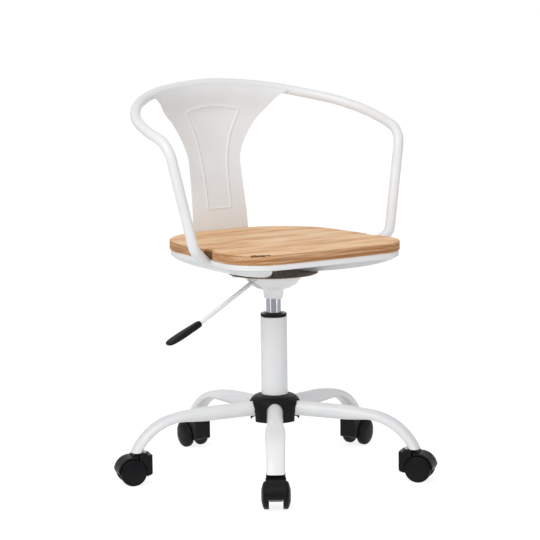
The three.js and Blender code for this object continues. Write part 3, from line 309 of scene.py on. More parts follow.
def filleted_path(corners, steps=fillet_steps):
    """Points of a path through (place, radius) corners; the ends have no radius."""
    path = []
    for i, (corner, radius) in enumerate(corners):
        if radius:
            path += arc_points(corners[i - 1][0], corner, corners[i + 1][0], radius, steps)
        else:
            path.append(corner.copy())
    return path


def smooth_path(points, steps=curve_steps):
    """A centripetal spline through every point."""
    points = [2 * points[0] - points[1], *points, 2 * points[-1] - points[-2]]
    path = [points[1].copy()]
    for before, start, end, after in zip(points, points[1:], points[2:], points[3:]):
        first, middle, last = (sqrt(run.length) for run in (start - before, end - start, after - end))
        leave = (start - before) / first - (end - before) / (first + middle) + (end - start) / middle
        arrive = (end - start) / middle - (after - start) / (middle + last) + (after - end) / last
        for k in range(1, steps + 1):
            t = k / steps
            rise = t * t * (3 - 2 * t)
            near = start * (1 - rise) + end * rise + leave * middle * t * (1 - t) ** 2
            path.append(near - arrive * middle * t * t * (1 - t))
    return path


# Objects made from shapes


def linked(name, data):
    made = bpy.data.objects.new(name, data)
    bpy.context.scene.collection.objects.link(made)
    return made


def new_mesh(name, points, faces):
    mesh = bpy.data.meshes.new(name)
    mesh.from_pydata(points, [], faces)
    return mesh


def solid(shape):
    """An object in millimetres with its faces turned outwards; one that is made already stays."""
    if isinstance(shape, bpy.types.Object):
        return shape
    mesh = new_mesh("tool", *shape)
    surface = bmesh.new()
    surface.from_mesh(mesh)
    bmesh.ops.recalc_face_normals(surface, faces=surface.faces)
    surface.to_mesh(mesh)
    surface.free()
    return linked("tool", mesh)


def settle(body):
    """Makes a body's modifiers part of its mesh."""
    evaluated = body.evaluated_get(bpy.context.evaluated_depsgraph_get())
    mesh = bpy.data.meshes.new_from_object(evaluated)
    body.modifiers.clear()
    body.data = mesh
    return body


def combine(operation, body, others):
    body = solid(body)
    others = [solid(other) for other in others]
    for other in others:
        modifier = body.modifiers.new("combine", "BOOLEAN")
        modifier.operation = operation
        modifier.solver = "EXACT"
        modifier.object = other
    settle(body)
    for other in others:
        bpy.data.objects.remove(other)
    return body


def cut(body, *tools):
    return combine("DIFFERENCE", body, tools)


def join(body, *others):
    return combine("UNION", body, others)


def keep(body, *others):
    """Keeps what a body shares with the others."""
    return combine("INTERSECT", body, others)


def moved(body, matrix):
    body = solid(body)
    body.data.transform(matrix)
    return body


def soften(body, width, angle):
    """Rounds the edges that turn by more than an angle in degrees."""
    modifier = body.modifiers.new("edges", "BEVEL")
    modifier.width = width
    modifier.segments = 3
    modifier.limit_method = "ANGLE"
    modifier.angle_limit = radians(angle)
    return settle(body)


def placing(angle, reach=0):
    """Turns what is made along X to a leg's direction, out along it."""
    return Matrix.Rotation(radians(angle - 90), 4, "Z") @ Matrix.Translation((reach, 0, 0))


def piece(name, body, material, rides_on, slot, *nodes):
    """Finishes a body as a piece of the chair that stands for CAD nodes."""
    body = moved(body, Matrix.Translation(axis) @ Matrix.Scale(MM, 4))
    body.name = name
    body.data.name = name
    body.data.shade_smooth()
    body.data.set_sharp_from_angle(angle=crease_angle)
    body.data.materials.clear()
    body.data.materials.append(material)
    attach(body, rides_on)
    if nodes:
        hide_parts(*nodes)


def repeated(end, name, source, place, material, rides_on, slot, node):
    """A piece from a copy of a body, moved to its place; the end comes after its name and its node's."""
    copy = moved(linked(name + end, source.data.copy()), place)
    piece(name + end, copy, material, rides_on, slot, node + end)


# Materials


class Nodes:
    """A node tree with helpers that make nodes and feed them."""

    def __init__(self, tree):
        self.tree = tree

    def feed(self, socket, value):
        if isinstance(value, bpy.types.NodeSocket):
            self.tree.links.new(value, socket)
        else:
            socket.default_value = value

    def node(self, kind, *values, **inputs):
        """A node whose inputs are fed by their place or their name."""
        made = self.tree.nodes.new(kind)
        for place, value in enumerate(values):
            self.feed(made.inputs[place], value)
        for key, value in inputs.items():
            self.feed(made.inputs[key.replace("_", " ")], value)
        return made

    def math(self, operation, *values):
        made = self.node("ShaderNodeMath", *values)
        made.operation = operation
        return made.outputs[0]

    def seen_directly(self):
        """A value that is 1 for rays of the camera, mirrors and glass."""
        path = self.node("ShaderNodeLightPath").outputs
        seen = self.math("MAXIMUM", path["Is Camera Ray"], path["Is Glossy Ray"])
        return self.math("MAXIMUM", seen, path["Is Transmission Ray"])

    def show(self, shader):
        self.feed(self.tree.nodes["Material Output"].inputs["Surface"], shader.outputs[0])


def bare_material(name):
    """A material and its nodes, of which only the output is left."""
    material = bpy.data.materials.new(name)
    material.use_nodes = True
    made = Nodes(material.node_tree)
    made.tree.nodes.remove(made.tree.nodes["Principled BSDF"])
    return material, made


class Finish(Nodes):
    """A principled material with helpers for its nodes."""

    def __init__(self, name, color, roughness, metallic=0.0):
        self.material = bpy.data.materials.new(name)
        self.material.use_nodes = True
        super().__init__(self.material.node_tree)
        self.set("Base Color", (*color, 1))
        self.set("Roughness", roughness)
        self.set("Metallic", metallic)
        self.place = self.node("ShaderNodeTexCoord").outputs["Object"]

    def set(self, socket, value):
        self.feed(self.tree.nodes["Principled BSDF"].inputs[socket], value)

    def vary(self, socket, value, *stops):
        self.set(socket, self.ramp(value, *stops))

    def stretched(self, scale):
        return self.node("ShaderNodeMapping", Vector=self.place, Scale=scale).outputs[0]

    def noise(self, scale, detail, roughness=0.5, vector=None):
        place = vector or self.place
        made = self.node("ShaderNodeTexNoise", Vector=place, Scale=scale, Detail=detail, Roughness=roughness)
        return made.outputs["Fac"]

    def ramp(self, value, *stops):
        """A colour or grey by value, from (position, colour) stops."""
        made = self.node("ShaderNodeValToRGB", value)
        for i, (position, color) in enumerate(stops):
            stop = made.color_ramp.elements[i] if i < 2 else made.color_ramp.elements.new(position)
            stop.position = position
            stop.color = (*color, 1) if isinstance(color, tuple) else (color, color, color, 1)
        return made.outputs["Color"]

    def mix(self, share, first, second):
        made = self.tree.nodes.new("ShaderNodeMix")
        made.data_type = "RGBA"
        self.feed(made.inputs[0], share)
        for place, value in ((6, first), (7, second)):
            self.feed(made.inputs[place], (*value, 1) if isinstance(value, tuple) else value)
        return made.outputs[2]

    def bump(self, height, distance, strength, **under):
        made = self.node("ShaderNodeBump", Height=height, Distance=distance, Strength=strength, **under)
        return made.outputs["Normal"]


def white_paint(name, tint=(1, 1, 1)):
    """Smooth powder coat: a faint orange peel, and tone and gloss that vary a little."""
    low = tuple(a * b for a, b in zip((0.785, 0.79, 0.80), tint))
    high = tuple(a * b for a, b in zip((0.83, 0.833, 0.838), tint))
    made = Finish(name, high, 0.36)
    made.vary("Base Color", made.noise(14, detail=4), (0.3, low), (0.75, high))
    made.vary("Roughness", made.noise(60, detail=5), (0.3, 0.30), (0.8, 0.42))
    peel = made.bump(made.noise(900, detail=2), distance=0.0004, strength=0.05)
    waves = made.noise(70, detail=1)
    made.set("Normal", made.bump(waves, distance=0.001, strength=0.04, Normal=peel))
    made.set("Specular IOR Level", 0.5)
    return made.material


def oak():
    """Glued staves of light hardwood, grain along X: mottled bands, rings round a pith, fine fibres, a dark
    crack, and painted shade on the sides and in the notches.
    """
    made = Finish("light_hardwood", (0.72, 0.45, 0.24), 0.5)
    stave_width = 0.095
    ring_spacing = 0.0046
    chance_start = 7.0
    pith_spread = 0.09
    pith_depth = 0.50
    pith_wander = 0.07
    ring_wander = 0.03
    x, y, z = made.node("ShaderNodeSeparateXYZ", Vector=made.place).outputs
    stave = made.math("FLOOR", made.math("DIVIDE", y, stave_width))
    chance = made.node("ShaderNodeTexWhiteNoise")
    chance.noise_dimensions = "1D"
    made.feed(chance.inputs["W"], made.math("ADD", stave, chance_start))
    random = made.node("ShaderNodeSeparateColor", Color=chance.outputs["Color"])
    drift = made.noise(1.0, detail=4, vector=made.stretched((3.2, 18, 18)))
    pith_y = made.math("MULTIPLY", made.math("SUBTRACT", random.outputs[0], 0.5), pith_spread)
    pith_z = made.math("ADD", made.math("MULTIPLY", random.outputs[1], pith_wander), pith_depth)
    across = made.math("ADD", made.math("MODULO", y, stave_width), pith_y)
    below = made.math("SUBTRACT", z, pith_z)
    squares = made.math("ADD", made.math("POWER", across, 2.0), made.math("POWER", below, 2.0))
    radius = made.math("ADD", made.math("SQRT", squares), made.math("MULTIPLY", drift, ring_wander))
    turns = made.math("FRACT", made.math("DIVIDE", radius, ring_spacing))
    growth = made.ramp(turns, (0.0, 0.45), (0.55, 0.12), (0.86, 1.0), (1.0, 0.45))
    streak = made.noise(1.0, detail=6, roughness=0.62, vector=made.stretched((14, 520, 520)))
    fibre = made.ramp(streak, (0.34, 0.0), (0.62, 1.0))
    bands = made.noise(1.0, detail=6, roughness=0.66, vector=made.stretched((6, 24, 130)))
    light = (1.0, 0.73, 0.46)
    middle = (0.95, 0.585, 0.305)
    deep = (0.69, 0.36, 0.15)
    dark = (0.40, 0.20, 0.085)
    side_shade_and_grain_dark = (0.33, 0.135, 0.045)
    notch_shade_and_crack_dark = (0.13, 0.058, 0.018)
    ring_strength = 0.2
    pore_strength = 0.26
    stave_paling = 0.12
    tone = made.ramp(bands, (0.37, deep), (0.63, light), (0.5, middle))
    tone = made.mix(made.math("MULTIPLY", growth, ring_strength), tone, dark)
    pores = made.math("MULTIPLY", made.math("SUBTRACT", 1.0, fibre), pore_strength)
    tone = made.mix(pores, tone, dark)
    tone = made.mix(made.math("MULTIPLY", random.outputs[2], stave_paling), tone, light)
    # Steep faces get a darker tone: painted shade over the whole side, with rings and grain lines darker on
    # top of it.
    geometry = made.node("ShaderNodeNewGeometry")
    upright = made.node("ShaderNodeSeparateXYZ", Vector=geometry.outputs["True Normal"]).outputs[2]
    side = made.ramp(made.math("ABSOLUTE", upright), (0.5, 1.0), (0.9, 0.0))
    lines = made.noise(1.0, detail=4, roughness=0.6, vector=made.stretched((5, 12, 330)))
    side_shade_and_grain_share = made.math("ADD", made.math("MULTIPLY", growth, 0.3), made.ramp(lines, (0.4, 0.8), (0.6, 0.3)))
    side_shade_and_grain_tone = made.mix(side_shade_and_grain_share, tone, side_shade_and_grain_dark)
    tone = made.mix(side, tone, side_shade_and_grain_tone)
    # Darkens the listed places: painted shade in the notches, and the crack at the front left corner.
    for share, place, reach in notch_shade_and_crack_marks:
        inside = 1.0
        for value, middle_value, half in zip((x, y, z), place, reach):
            away = made.math("ABSOLUTE", made.math("SUBTRACT", value, middle_value))
            inside = made.math("MULTIPLY", inside, made.math("LESS_THAN", away, half))
        tone = made.mix(made.math("MULTIPLY", inside, share), tone, notch_shade_and_crack_dark)
    made.set("Base Color", tone)
    made.vary("Roughness", streak, (0.3, 0.66), (0.7, 0.5))
    made.set("Specular IOR Level", 0.3)
    height = made.math("ADD", made.math("MULTIPLY", streak, 0.7), made.math("MULTIPLY", growth, -0.3))
    made.set("Normal", made.bump(height, distance=0.0006, strength=0.35))
    return made.material


def nylon(name, tone, roughness, grain=0.25):
    """Moulded black nylon with a fine eroded grain and a dusty, uneven gloss."""
    made = Finish(name, tone, roughness)
    dust_gain = 1.5
    lighter = tuple(channel * dust_gain for channel in tone)
    made.vary("Base Color", made.noise(45, detail=5), (0.35, tone), (0.75, lighter))
    gloss = made.noise(120, detail=4)
    made.vary("Roughness", gloss, (0.3, roughness - 0.06), (0.7, roughness + 0.08))
    pits = made.noise(2600, detail=2)
    made.set("Normal", made.bump(pits, distance=0.0003, strength=grain))
    made.set("Specular IOR Level", 0.14)
    return made.material


def metal(name, color, roughness, scale, depth=0.06, metallic=1.0):
    """Bare or plated metal with fine drawn lines across its stretched axis."""
    made = Finish(name, color, roughness, metallic)
    lines = made.noise(1.0, detail=4, vector=made.stretched(scale))
    line_shade = 0.86
    darker = tuple(channel * line_shade for channel in color)
    made.vary("Base Color", lines, (0.3, darker), (0.7, color))
    spread_share = 0.35
    spread = roughness * spread_share
    made.vary("Roughness", lines, (0.3, roughness - spread), (0.7, roughness + spread))
    made.set("Normal", made.bump(lines, distance=0.0002, strength=depth))
    return made.material


paint = white_paint("white_powder_coat")
# The splat's copy of the paint is tinted cooler: painted light, which cancels the warm light that the wood
# bounces onto it.
splat_paint_bounce_corrected = white_paint("white_splat_coat_bounce_corrected", (0.99, 1.003, 1.015))
# The bowl's copy of the paint is brighter than the rest: painted light, for the bounce from below that it
# lacks.
bowl_paint_lit = white_paint("white_bowl_coat_painted_light", (1.1, 1.1, 1.1))
wood = oak()
cover_nylon = nylon("hub_nylon", (0.0045, 0.0045, 0.0048), 0.44)
hood_nylon = nylon("caster_nylon", (0.0055, 0.0055, 0.0058), 0.40)
wheel_nylon = nylon("wheel_nylon", (0.0045, 0.0045, 0.0055), 0.44)
grip_plastic = nylon("grip_plastic", (0.007, 0.007, 0.008), 0.38)
bush_plastic = nylon("bush_plastic", (0.008, 0.008, 0.009), 0.18, 0.03)
chrome = metal("lift_chrome", (0.80, 0.81, 0.83), 0.06, (60, 60, 900), 0.01)
zinc = metal("zinc_plate", (0.62, 0.63, 0.64), 0.34, (700, 700, 700))
# The lever rod's zinc plate is drawn as a pale non-metal: its brightness is painted reflection of the white
# studio.
rod_zinc_painted_reflection = metal("rod_zinc_painted_reflection", (0.88, 0.895, 0.91), 0.5, (25, 25, 25), metallic=0.0)
bronze = metal("bronzed_plate", (0.34, 0.25, 0.17), 0.26, (90, 900, 90))

# Seat


def plan(corners):
    """A plan through (x, y, radius, bulge) corners, anticlockwise; a bulge is that of the side after."""
    count = len(corners)
    sides = []
    for i, corner in enumerate(corners):
        start = Vector(corner[:2])
        along = Vector(corners[(i + 1) % count][:2]) - start
        length = along.length
        along.normalize()
        sides.append((start, length, along, Vector((along.y, -along.x)), corner[3]))
    cuts = [corners[i][2] * tan(sides[i - 1][2].angle(sides[i][2]) / 2) for i in range(count)]

    def on_side(i, distance):
        start, length, along, outward, bulge = sides[i]
        share = distance / length
        place = start + along * distance + outward * 4 * bulge * share * (1 - share)
        return place, (along + outward * 4 * bulge * (1 - 2 * share) / length).normalized()

    def meeting(first, second):
        between = second[0] - first[0]
        cross = first[1].cross(second[1])
        return first[0] + first[1] * (between.cross(second[1]) / cross)

    points = []
    handle_share = 0.55
    for i in range(count):
        after = (i + 1) % count
        first = on_side(i, cuts[i])
        last = on_side(i, sides[i][1] - cuts[after])
        control = meeting(first, last)
        for t in shares_of(side_steps):
            points.append(first[0] * (1 - t) ** 2 + control * 2 * t * (1 - t) + last[0] * t * t)
        following = on_side(after, cuts[after])
        tip = meeting(last, following)
        leave = last[0].lerp(tip, handle_share)
        arrive = following[0].lerp(tip, handle_share)
        for t in shares_of(corner_steps):
            near = last[0] * (1 - t) ** 3 + leave * 3 * t * (1 - t) ** 2
            points.append(near + arrive * 3 * t * t * (1 - t) + following[0] * t**3)
    return points


def seat_outline(inset):
    half_front = board.front_half_width - inset
    half_rear = board.rear_half_width - inset
    front = inset - board.front
    rear = board.rear - inset
    front_radius = board.front_radius - inset
    rear_radius = board.rear_radius - inset
    return plan((
        (-half_front, front, front_radius, board.front_bulge),
        (half_front, front, front_radius, board.side_bulge),
        (half_rear, rear, rear_radius, board.rear_bulge), (-half_rear, rear, rear_radius, board.side_bulge),
    ))


def ringed(profile):
    """A closed body of the seat's outline from a profile of (inset, height)."""
    return skin([at_height(seat_outline(inset), height) for inset, height in profile])


def board_body():
    top = board.top
    bottom = board.bottom
    edge = board.edge
    middle = edge + overrun
    body = solid(ringed(rounded(((middle, bottom), (0, bottom, edge), (0, top, edge), (middle, top)))))
    outside = board.front_half_width + overrun
    radius = board.notch_radius
    for side in (-1, 1):
        corners = rounded((
            (side * board.notch_inside, -board.notch_front, radius), (side * outside, -board.notch_front),
            (side * outside, -board.notch_rear), (side * board.notch_inside, -board.notch_rear, radius),
        ))
        cut(body, prism(corners, bottom - overrun, top + overrun))
    return soften(body, board.notch_edge, 55)


def pan_body():
    wall = pan.inset
    inner = wall + pan.sheet
    mouth = inner + pan.lip
    middle = mouth + overrun
    return ringed(rounded((
        (middle, pan.top), (wall, pan.top, 2), (wall, pan.bottom, pan.edge), (mouth, pan.bottom, 0.9),
        (mouth, pan.bottom + pan.sheet, 0.9), (inner, pan.bottom + pan.sheet, 1.5),
        (inner, pan.top - pan.sheet, 1.5), (middle, pan.top - pan.sheet),
    )))


def underframe_blank(rise, margin):
    """The sloping pressing as a solid, raised by the sheet for its inside."""
    upper = seat_outline(pan.inset + underframe.inset)
    lower = [point.normalized() * underframe.floor_radius for point in upper]
    top = pan.bottom - gap
    rings = []
    for share, lift in underframe_flank_shares:
        height = underframe.floor + lift * (top - underframe.floor) + rise
        rings.append([(*a.lerp(b, share), height) for a, b in zip(lower, upper)])
    rings.append([(*b, top + rise + margin) for b in upper])
    return skin(rings)


def channel_tool(margin):
    channel = underframe.channel_half_width + margin
    mouth = underframe.mouth_half_width + margin
    front = -board.front - overrun
    centre = underframe.channel_end + margin - channel
    angles = [pi * k / corner_steps for k in range(corner_steps + 1)]
    bend = [(channel * cos(angle), centre + channel * sin(angle)) for angle in angles]
    inner = underframe.front
    points = [(-mouth, front), (mouth, front), (channel, -inner), *bend, (-channel, -inner)]
    return prism(points, underframe.floor - overrun, pan.bottom + overrun)


def underframe_body():
    body = cut(underframe_blank(0, 0), channel_tool(0))
    inside = cut(underframe_blank(underframe.sheet, overrun), channel_tool(underframe.sheet))
    return soften(cut(body, inside), underframe.edge, 40)


# Arm hoop and splat


def half_hoop():
    """The hoop's centre line from the right foot to the middle of the back."""
    run = hoop.back_depth - hoop.bend.y
    rise = hoop.back_height - hoop.bend.z
    curve = [
        Vector((x * hoop.bend.x, hoop.bend.y + y * run, hoop.bend.z + z * rise))
        for x, y, z in hoop_curve_shares
    ]
    corners = [(hoop.foot, 0), (hoop.kink, hoop.kink_radius), (hoop.bend, hoop.bend_radius), (curve[0], 0)]
    path = filleted_path(corners, 2 * fillet_steps)[:-1]
    exit_point = path.pop()
    beyond = curve[-2].copy()
    beyond.x = -beyond.x
    arc = smooth_path([exit_point, *curve[1:], beyond])[: -curve_steps]
    return path + arc


def hoop_path():
    half = half_hoop()
    return half + [Vector((-p.x, p.y, p.z)) for p in reversed(half[:-1])]


def hoop_body():
    tube = swept(hoop_path(), round_section(hoop.radius))
    inside_pan = prism(seat_outline(pan.inset - gap), pan.bottom - overrun, board.bottom)
    below = box_shape(-hoop.bend.x, hoop.bend.x, -board.front, board.rear, 0, hoop.foot_cut)
    return cut(tube, inside_pan, below)


def hoop_at(path, x):
    """Where the hoop's centre line passes a distance from the middle, and its level heading there."""
    for start, end in zip(path, path[1:]):
        if min(start.x, end.x) <= x <= max(start.x, end.x) and start.y > 0:
            place = start.lerp(end, (x - start.x) / (end.x - start.x))
            heading = Vector((end.x - start.x, end.y - start.y, 0)).normalized()
            return place, heading if heading.x > 0 else -heading


def splat_row(row, shares):
    """The middle of the sheet across one row, for shares of its width from -1 to 1."""
    height_share, width_share, lean_share = splat_row_shares[row]
    height = splat.foot + height_share * (hoop.back_height - splat.foot)
    rear_face = board.rear + board.rear_bulge
    half_sheet = splat.sheet / 2
    stepped = splat.foot + splat.foot_step
    foot = rear_face + gap + half_sheet - (pan.inset if height < stepped else 0)
    points = []
    for share in shares:
        x = share * width_share * splat.waist_half_width
        wrap = splat.wrap * (x / splat.top_half_width) ** 2 * lean_share
        points.append(Vector((x, foot + lean_share * (splat.top_depth - foot) - wrap, height)))
    return points


def splat_grid():
    """Points of the sheet's middle: one list for each column, from foot to top."""
    shares = [2 * k / splat_columns - 1 for k in range(splat_columns + 1)]
    rows = [splat_row(row, shares) for row in range(len(splat_row_shares))]
    path = hoop_path()
    reach = hoop.radius + gap + splat.sheet / 2
    for half_width, drop in ((splat.ear_half_width, splat.ear_drop), (splat.top_half_width, 0)):
        row = []
        for share in shares:
            place, heading = hoop_at(path, share * half_width)
            row.append(place + Vector((heading.y, -heading.x, 0)) * reach - Vector((0, 0, drop)))
        rows.append(row)
    return [smooth_path(list(column), splat_steps) for column in zip(*rows)]


def bead_line():
    """The bead's closed line on the splat, as (x, z) points."""
    side = smooth_path([Vector((x, z, 0)) for x, z in bead_side], fillet_steps)
    right = [Vector((p.x, p.y)) for p in side]
    top_x, top_z = bead_side[0]
    crown = []
    for k in range(1, 2 * corner_steps):
        share = k / corner_steps - 1
        crown.append(Vector((top_x * share, top_z + (bead_crown - top_z) * (1 - share * share))))
    left = [Vector((-p.x, p.y)) for p in reversed(right)]
    line = [(*p, 0) for p in right + left + crown]
    for corner in (0, len(right) - 1, len(right), len(right) + len(left) - 1):
        line[corner] = (line[corner][0], line[corner][1], splat.bead_corner)
    return rounded(line)


def bead_heights(x, z):
    """How far the bead stands out at points of the splat."""
    starts = np.array(bead_line())
    spans = np.roll(starts, -1, axis=0) - starts
    offset = np.stack([x, z], axis=-1)[:, None, :] - starts[None]
    share = np.clip((offset * spans).sum(-1) / np.maximum((spans**2).sum(-1), 1e-9), 0, 1)
    distance = np.sqrt(((offset - share[..., None] * spans[None]) ** 2).sum(-1)).min(axis=1)
    bell = np.cos(np.clip(distance / splat.bead_half_width, 0, 1) * pi / 2) ** 2
    return splat.bead_height * bell


def splat_body():
    columns = np.array([[tuple(p) for p in column] for column in splat_grid()])
    grid = columns.transpose(1, 0, 2)
    normal = np.cross(np.gradient(grid, axis=1), np.gradient(grid, axis=0))
    normal /= np.linalg.norm(normal, axis=2, keepdims=True)
    flat = grid.reshape(-1, 3)
    raised = bead_heights(flat[:, 0], flat[:, 2]).reshape(*grid.shape[:2], 1)
    middle = grid + normal * raised
    front = middle + normal * splat.sheet / 2
    rear = middle - normal * splat.sheet / 2
    rings = [[*front[row], *rear[row][::-1]] for row in range(len(grid))]
    points, faces = skin(rings)
    half = splat_columns + 1
    faces = faces[:-2]
    last = (len(rings) - 1) * 2 * half
    for side in range(half - 1):
        ends = (side, side + 1, 2 * half - 2 - side, 2 * half - 1 - side)
        faces.append(ends)
        faces.append(tuple(last + end for end in ends))
    return points, faces


# Mechanism


def tray_body():
    low = tray.bottom
    top = tray.top
    floor = low + tray.sheet
    rise = top - low
    outer = tray.radius
    inner = outer - tray.sheet
    lip_start = outer - tray.lip_run
    floor_end = lip_start - tray.sheet
    surface = rounded((
        (lip_start - overrun, low), (lip_start, low, 3), (outer - tray.lip_lean, low + rise / 3, 3),
        (outer, top, 0.6), (inner, top, 0.6), (inner - tray.lip_lean, floor + rise / 4, 2),
        (floor_end, floor, 2), (floor_end - overrun, floor),
    ))
    return turned([(0, low), *surface, (0, floor)])


def bolt_body(x, y):
    """A washer and a chamfered hexagon head with its shank, up through the tray."""
    seat = tray.bottom - gap
    under = seat - bolt.washer
    low = under - bolt.head_height
    edge = bolt.washer / 3
    radius = bolt.washer_radius
    washer = turned(rounded(((0, under), (radius, under, edge), (radius, seat, edge), (0, seat))), tube_sides)
    corner = bolt.head_radius / cos(pi / 6)
    hexagon = [(corner * cos(k * pi / 3), corner * sin(k * pi / 3)) for k in range(6)]
    chamfer = bolt.head_radius * bolt.chamfer_share
    bell_profile = (
        (0, low), (bolt.head_radius - chamfer, low), (corner, low + chamfer * 2), (corner, seat), (0, seat),
    )
    head = keep(prism(hexagon, low, under), turned(bell_profile, tube_sides))
    top = seat + bolt.length
    shank = turned([(0, seat), (bolt.radius, seat), (bolt.radius, top), (0, top)])
    return moved(join(head, washer, shank), Matrix.Translation((x, y, 0)))


def facet_tool(shift):
    """The wedge that a slanted plane cuts off the housing on the lever's side."""
    rise = housing.facet_high - housing.facet_low
    run = housing.facet_high_reach - housing.facet_low_reach
    length = hypot(rise, run)
    nudge_x = shift * rise / length
    nudge_z = shift * run / length
    far = 2 * housing.bowl_radius

    def line(reach):
        return housing.facet_low + (reach - housing.facet_low_reach) * rise / run

    points = (
        (nudge_x, line(0) + nudge_z), (nudge_x - far, line(far) + nudge_z),
        (nudge_x - far, line(0) + nudge_z),
    )
    return side_prism(points, -far, far)


def slit_tool(place, high, draw_in):
    half = housing.slit_half_width - draw_in
    low = housing.facet_low + housing.wall + draw_in
    near = -housing.facet_low_reach
    return box_shape(-housing.bowl_radius, near, place - half, place + half, low, high - draw_in)


def slit_shade_strip_body(place, high):
    """A black strip just under the facet that fills a slit: painted shade, standing in for the shadow inside
    the slit.
    """
    behind = facet_tool(housing.insert_depth + housing.insert_thickness)
    return cut(keep(slit_tool(place, high, gap / 2), behind), facet_tool(housing.insert_depth))


def housing_body():
    wall = housing.wall
    top = housing.top
    belly_drop = bowl_steps[0][1]
    neck = housing.neck_radius
    neck_low = housing.neck_bottom
    ring = housing.ring_radius
    ring_low = housing.ring_bottom
    collar = housing.collar_radius
    collar_low = housing.collar_bottom
    outer = rounded((
        (0, neck_low), (neck, neck_low, 0.8), (neck, ring_low, 0.4), (ring, ring_low, 0.8),
        (ring, collar_low, 0.4), (collar, collar_low, 0.8), (collar, top - belly_drop - 2 * wall, 5),
        *[(radius, top - drop, fillet) for radius, drop, fillet in bowl_steps],
        (housing.bowl_radius, top - wall, 0.8), (housing.bowl_radius, top), (0, top),
    ))
    inner = [
        (0, top - belly_drop - wall), (collar, top - belly_drop - wall),
        *[(radius - wall, top - drop + wall) for radius, drop, _ in bowl_steps],
        (housing.bowl_radius - 2 * wall, top + overrun), (0, top + overrun),
    ]
    body = cut(turned(outer), facet_tool(0))
    hollow = cut(turned(inner), facet_tool(wall))
    low = neck_low + wall
    core = turned([(0, low), (housing.core_radius, low), (housing.core_radius, top - wall), (0, top - wall)])
    bore_radius = gas.radius + gap
    bore = turned([(0, 0), (bore_radius, 0), (bore_radius, top + overrun), (0, top + overrun)])
    half = housing.slot_half_width
    slot_low = lever.height - housing.slot_drop
    slot_high = lever.height + lever.rod_radius + gap
    slot_end = -lever.pin_reach - lever.rod_radius
    slot = box_shape(-housing.bowl_radius, slot_end, -half, half, slot_low, slot_high)
    cut(body, hollow)
    join(body, core)
    cut(body, bore, slot)
    half += gap
    tongue_top = lever.height - lever.rod_radius - 2 * gap
    tongue = box_shape(-housing.tongue_reach, -lever.pin_reach, -half, half, slot_low, tongue_top)
    join(body, cut(tongue, facet_tool(0)))
    for place, high in housing_slits:
        cut(body, slit_tool(place, high, 0))
    return soften(body, housing.edge, 40)


def lever_point(reach, height):
    return Vector((-reach, 0, height))


def lever_path():
    joint = lever_point(lever.joint_reach, lever.joint_height)
    bend = lever_point(lever.bend_reach, lever.height)
    end = joint + (joint - bend).normalized() * lever.grip_overlap
    start = lever_point(-lever.inner_reach, lever.height)
    return filleted_path([(start, 0), (bend, lever.bend_radius), (end, 0)])


def lever_grip_body():
    root = lever_point(lever.joint_reach, lever.joint_height)
    tip = lever_point(lever.tip_reach, lever.tip_height)
    keys = smooth_path([Vector(row) for row in grip_shares], grip_steps)

    def section(ring, angle):
        width = keys[ring].y * lever.grip_width / 2
        thickness = keys[ring].z * lever.grip_thickness / 2
        return squared_point(angle, grip_squareness, width, thickness)

    return swept([root.lerp(tip, key.x) for key in keys], section)


# Gas lift and column


def tube_profile(inner, outer, low, high, edge):
    return rounded(((inner, low, edge), (outer, low, edge), (outer, high, edge), (inner, high, edge)))


def cylinder_body():
    low, high = local_box("gas_cylinder")
    edge = gas.edge
    return turned(rounded(((0, low.z), (gas.radius, low.z, edge), (gas.radius, high.z, edge), (0, high.z))))


def column_body():
    bore = column.radius - column.wall
    floor = column.bottom + column.floor
    return turned(rounded((
        (column.floor_bore, column.bottom), (column.radius, column.bottom, 1),
        (column.radius, column.top, 0.8), (bore, column.top, 0.5), (bore, floor),
        (column.floor_bore, floor),
    )))


def bush_body():
    bore = gas.radius + bush.clearance
    sleeve = column.radius - column.wall - gap
    seat = column.top + gap
    top = seat + bush.flange
    return turned(rounded((
        (bore, seat - bush.length), (sleeve, seat - bush.length), (sleeve, seat),
        (column.radius, seat, bush.edge), (column.radius, top, bush.edge), (bush.collar_radius, top, 0.4),
        (bush.collar_radius, top + bush.collar_height, 0.5), (bore, top + bush.collar_height, 0.5),
    )))


# Base


def arch_tool(angle):
    """The arched way of a leg out through the cover."""
    half = cover.arch_half_width
    low = cover.foot_height - overrun
    steps = 2 * corner_steps
    turns = [pi * k / steps for k in range(steps + 1)]
    outline = [(half, low), *[(half * cos(a), leg.hub_height + half * sin(a)) for a in turns], (-half, low)]
    reaches = (column.radius + overrun, cover.waist_radius + overrun)
    return moved(skin([[(x, side, z) for side, z in outline] for x in reaches]), placing(angle))


def leg_angles():
    return [(number + 1, leg.first_angle + 360 / leg.count * number) for number in range(leg.count)]


def cover_body():
    """The cover's wall from the foot round the crown to the column and back inside, with its arches."""
    wall = cover.wall
    bore = column.radius + gap
    top = cover.top
    crown = top - cover.crown_drop
    shoulder = top - cover.shoulder_drop
    foot = cover.foot_height
    body = turned(rounded((
        (cover.foot_radius, foot, 0.5), (cover.waist_radius, cover.waist_height, 9),
        (cover.shoulder_radius, shoulder, 7), (cover.crown_radius, crown, 8), (bore, top, 0.6),
        (bore, top - wall), (cover.crown_radius - wall / 2, crown - wall, 6),
        (cover.shoulder_radius - wall, shoulder - wall / 2, 5),
        (cover.waist_radius - wall, cover.waist_height - wall / 2, 6),
        (cover.foot_radius - wall, foot, 0.5),
    )))
    return soften(cut(body, *[arch_tool(angle) for _, angle in leg_angles()]), cover.edge, 40)


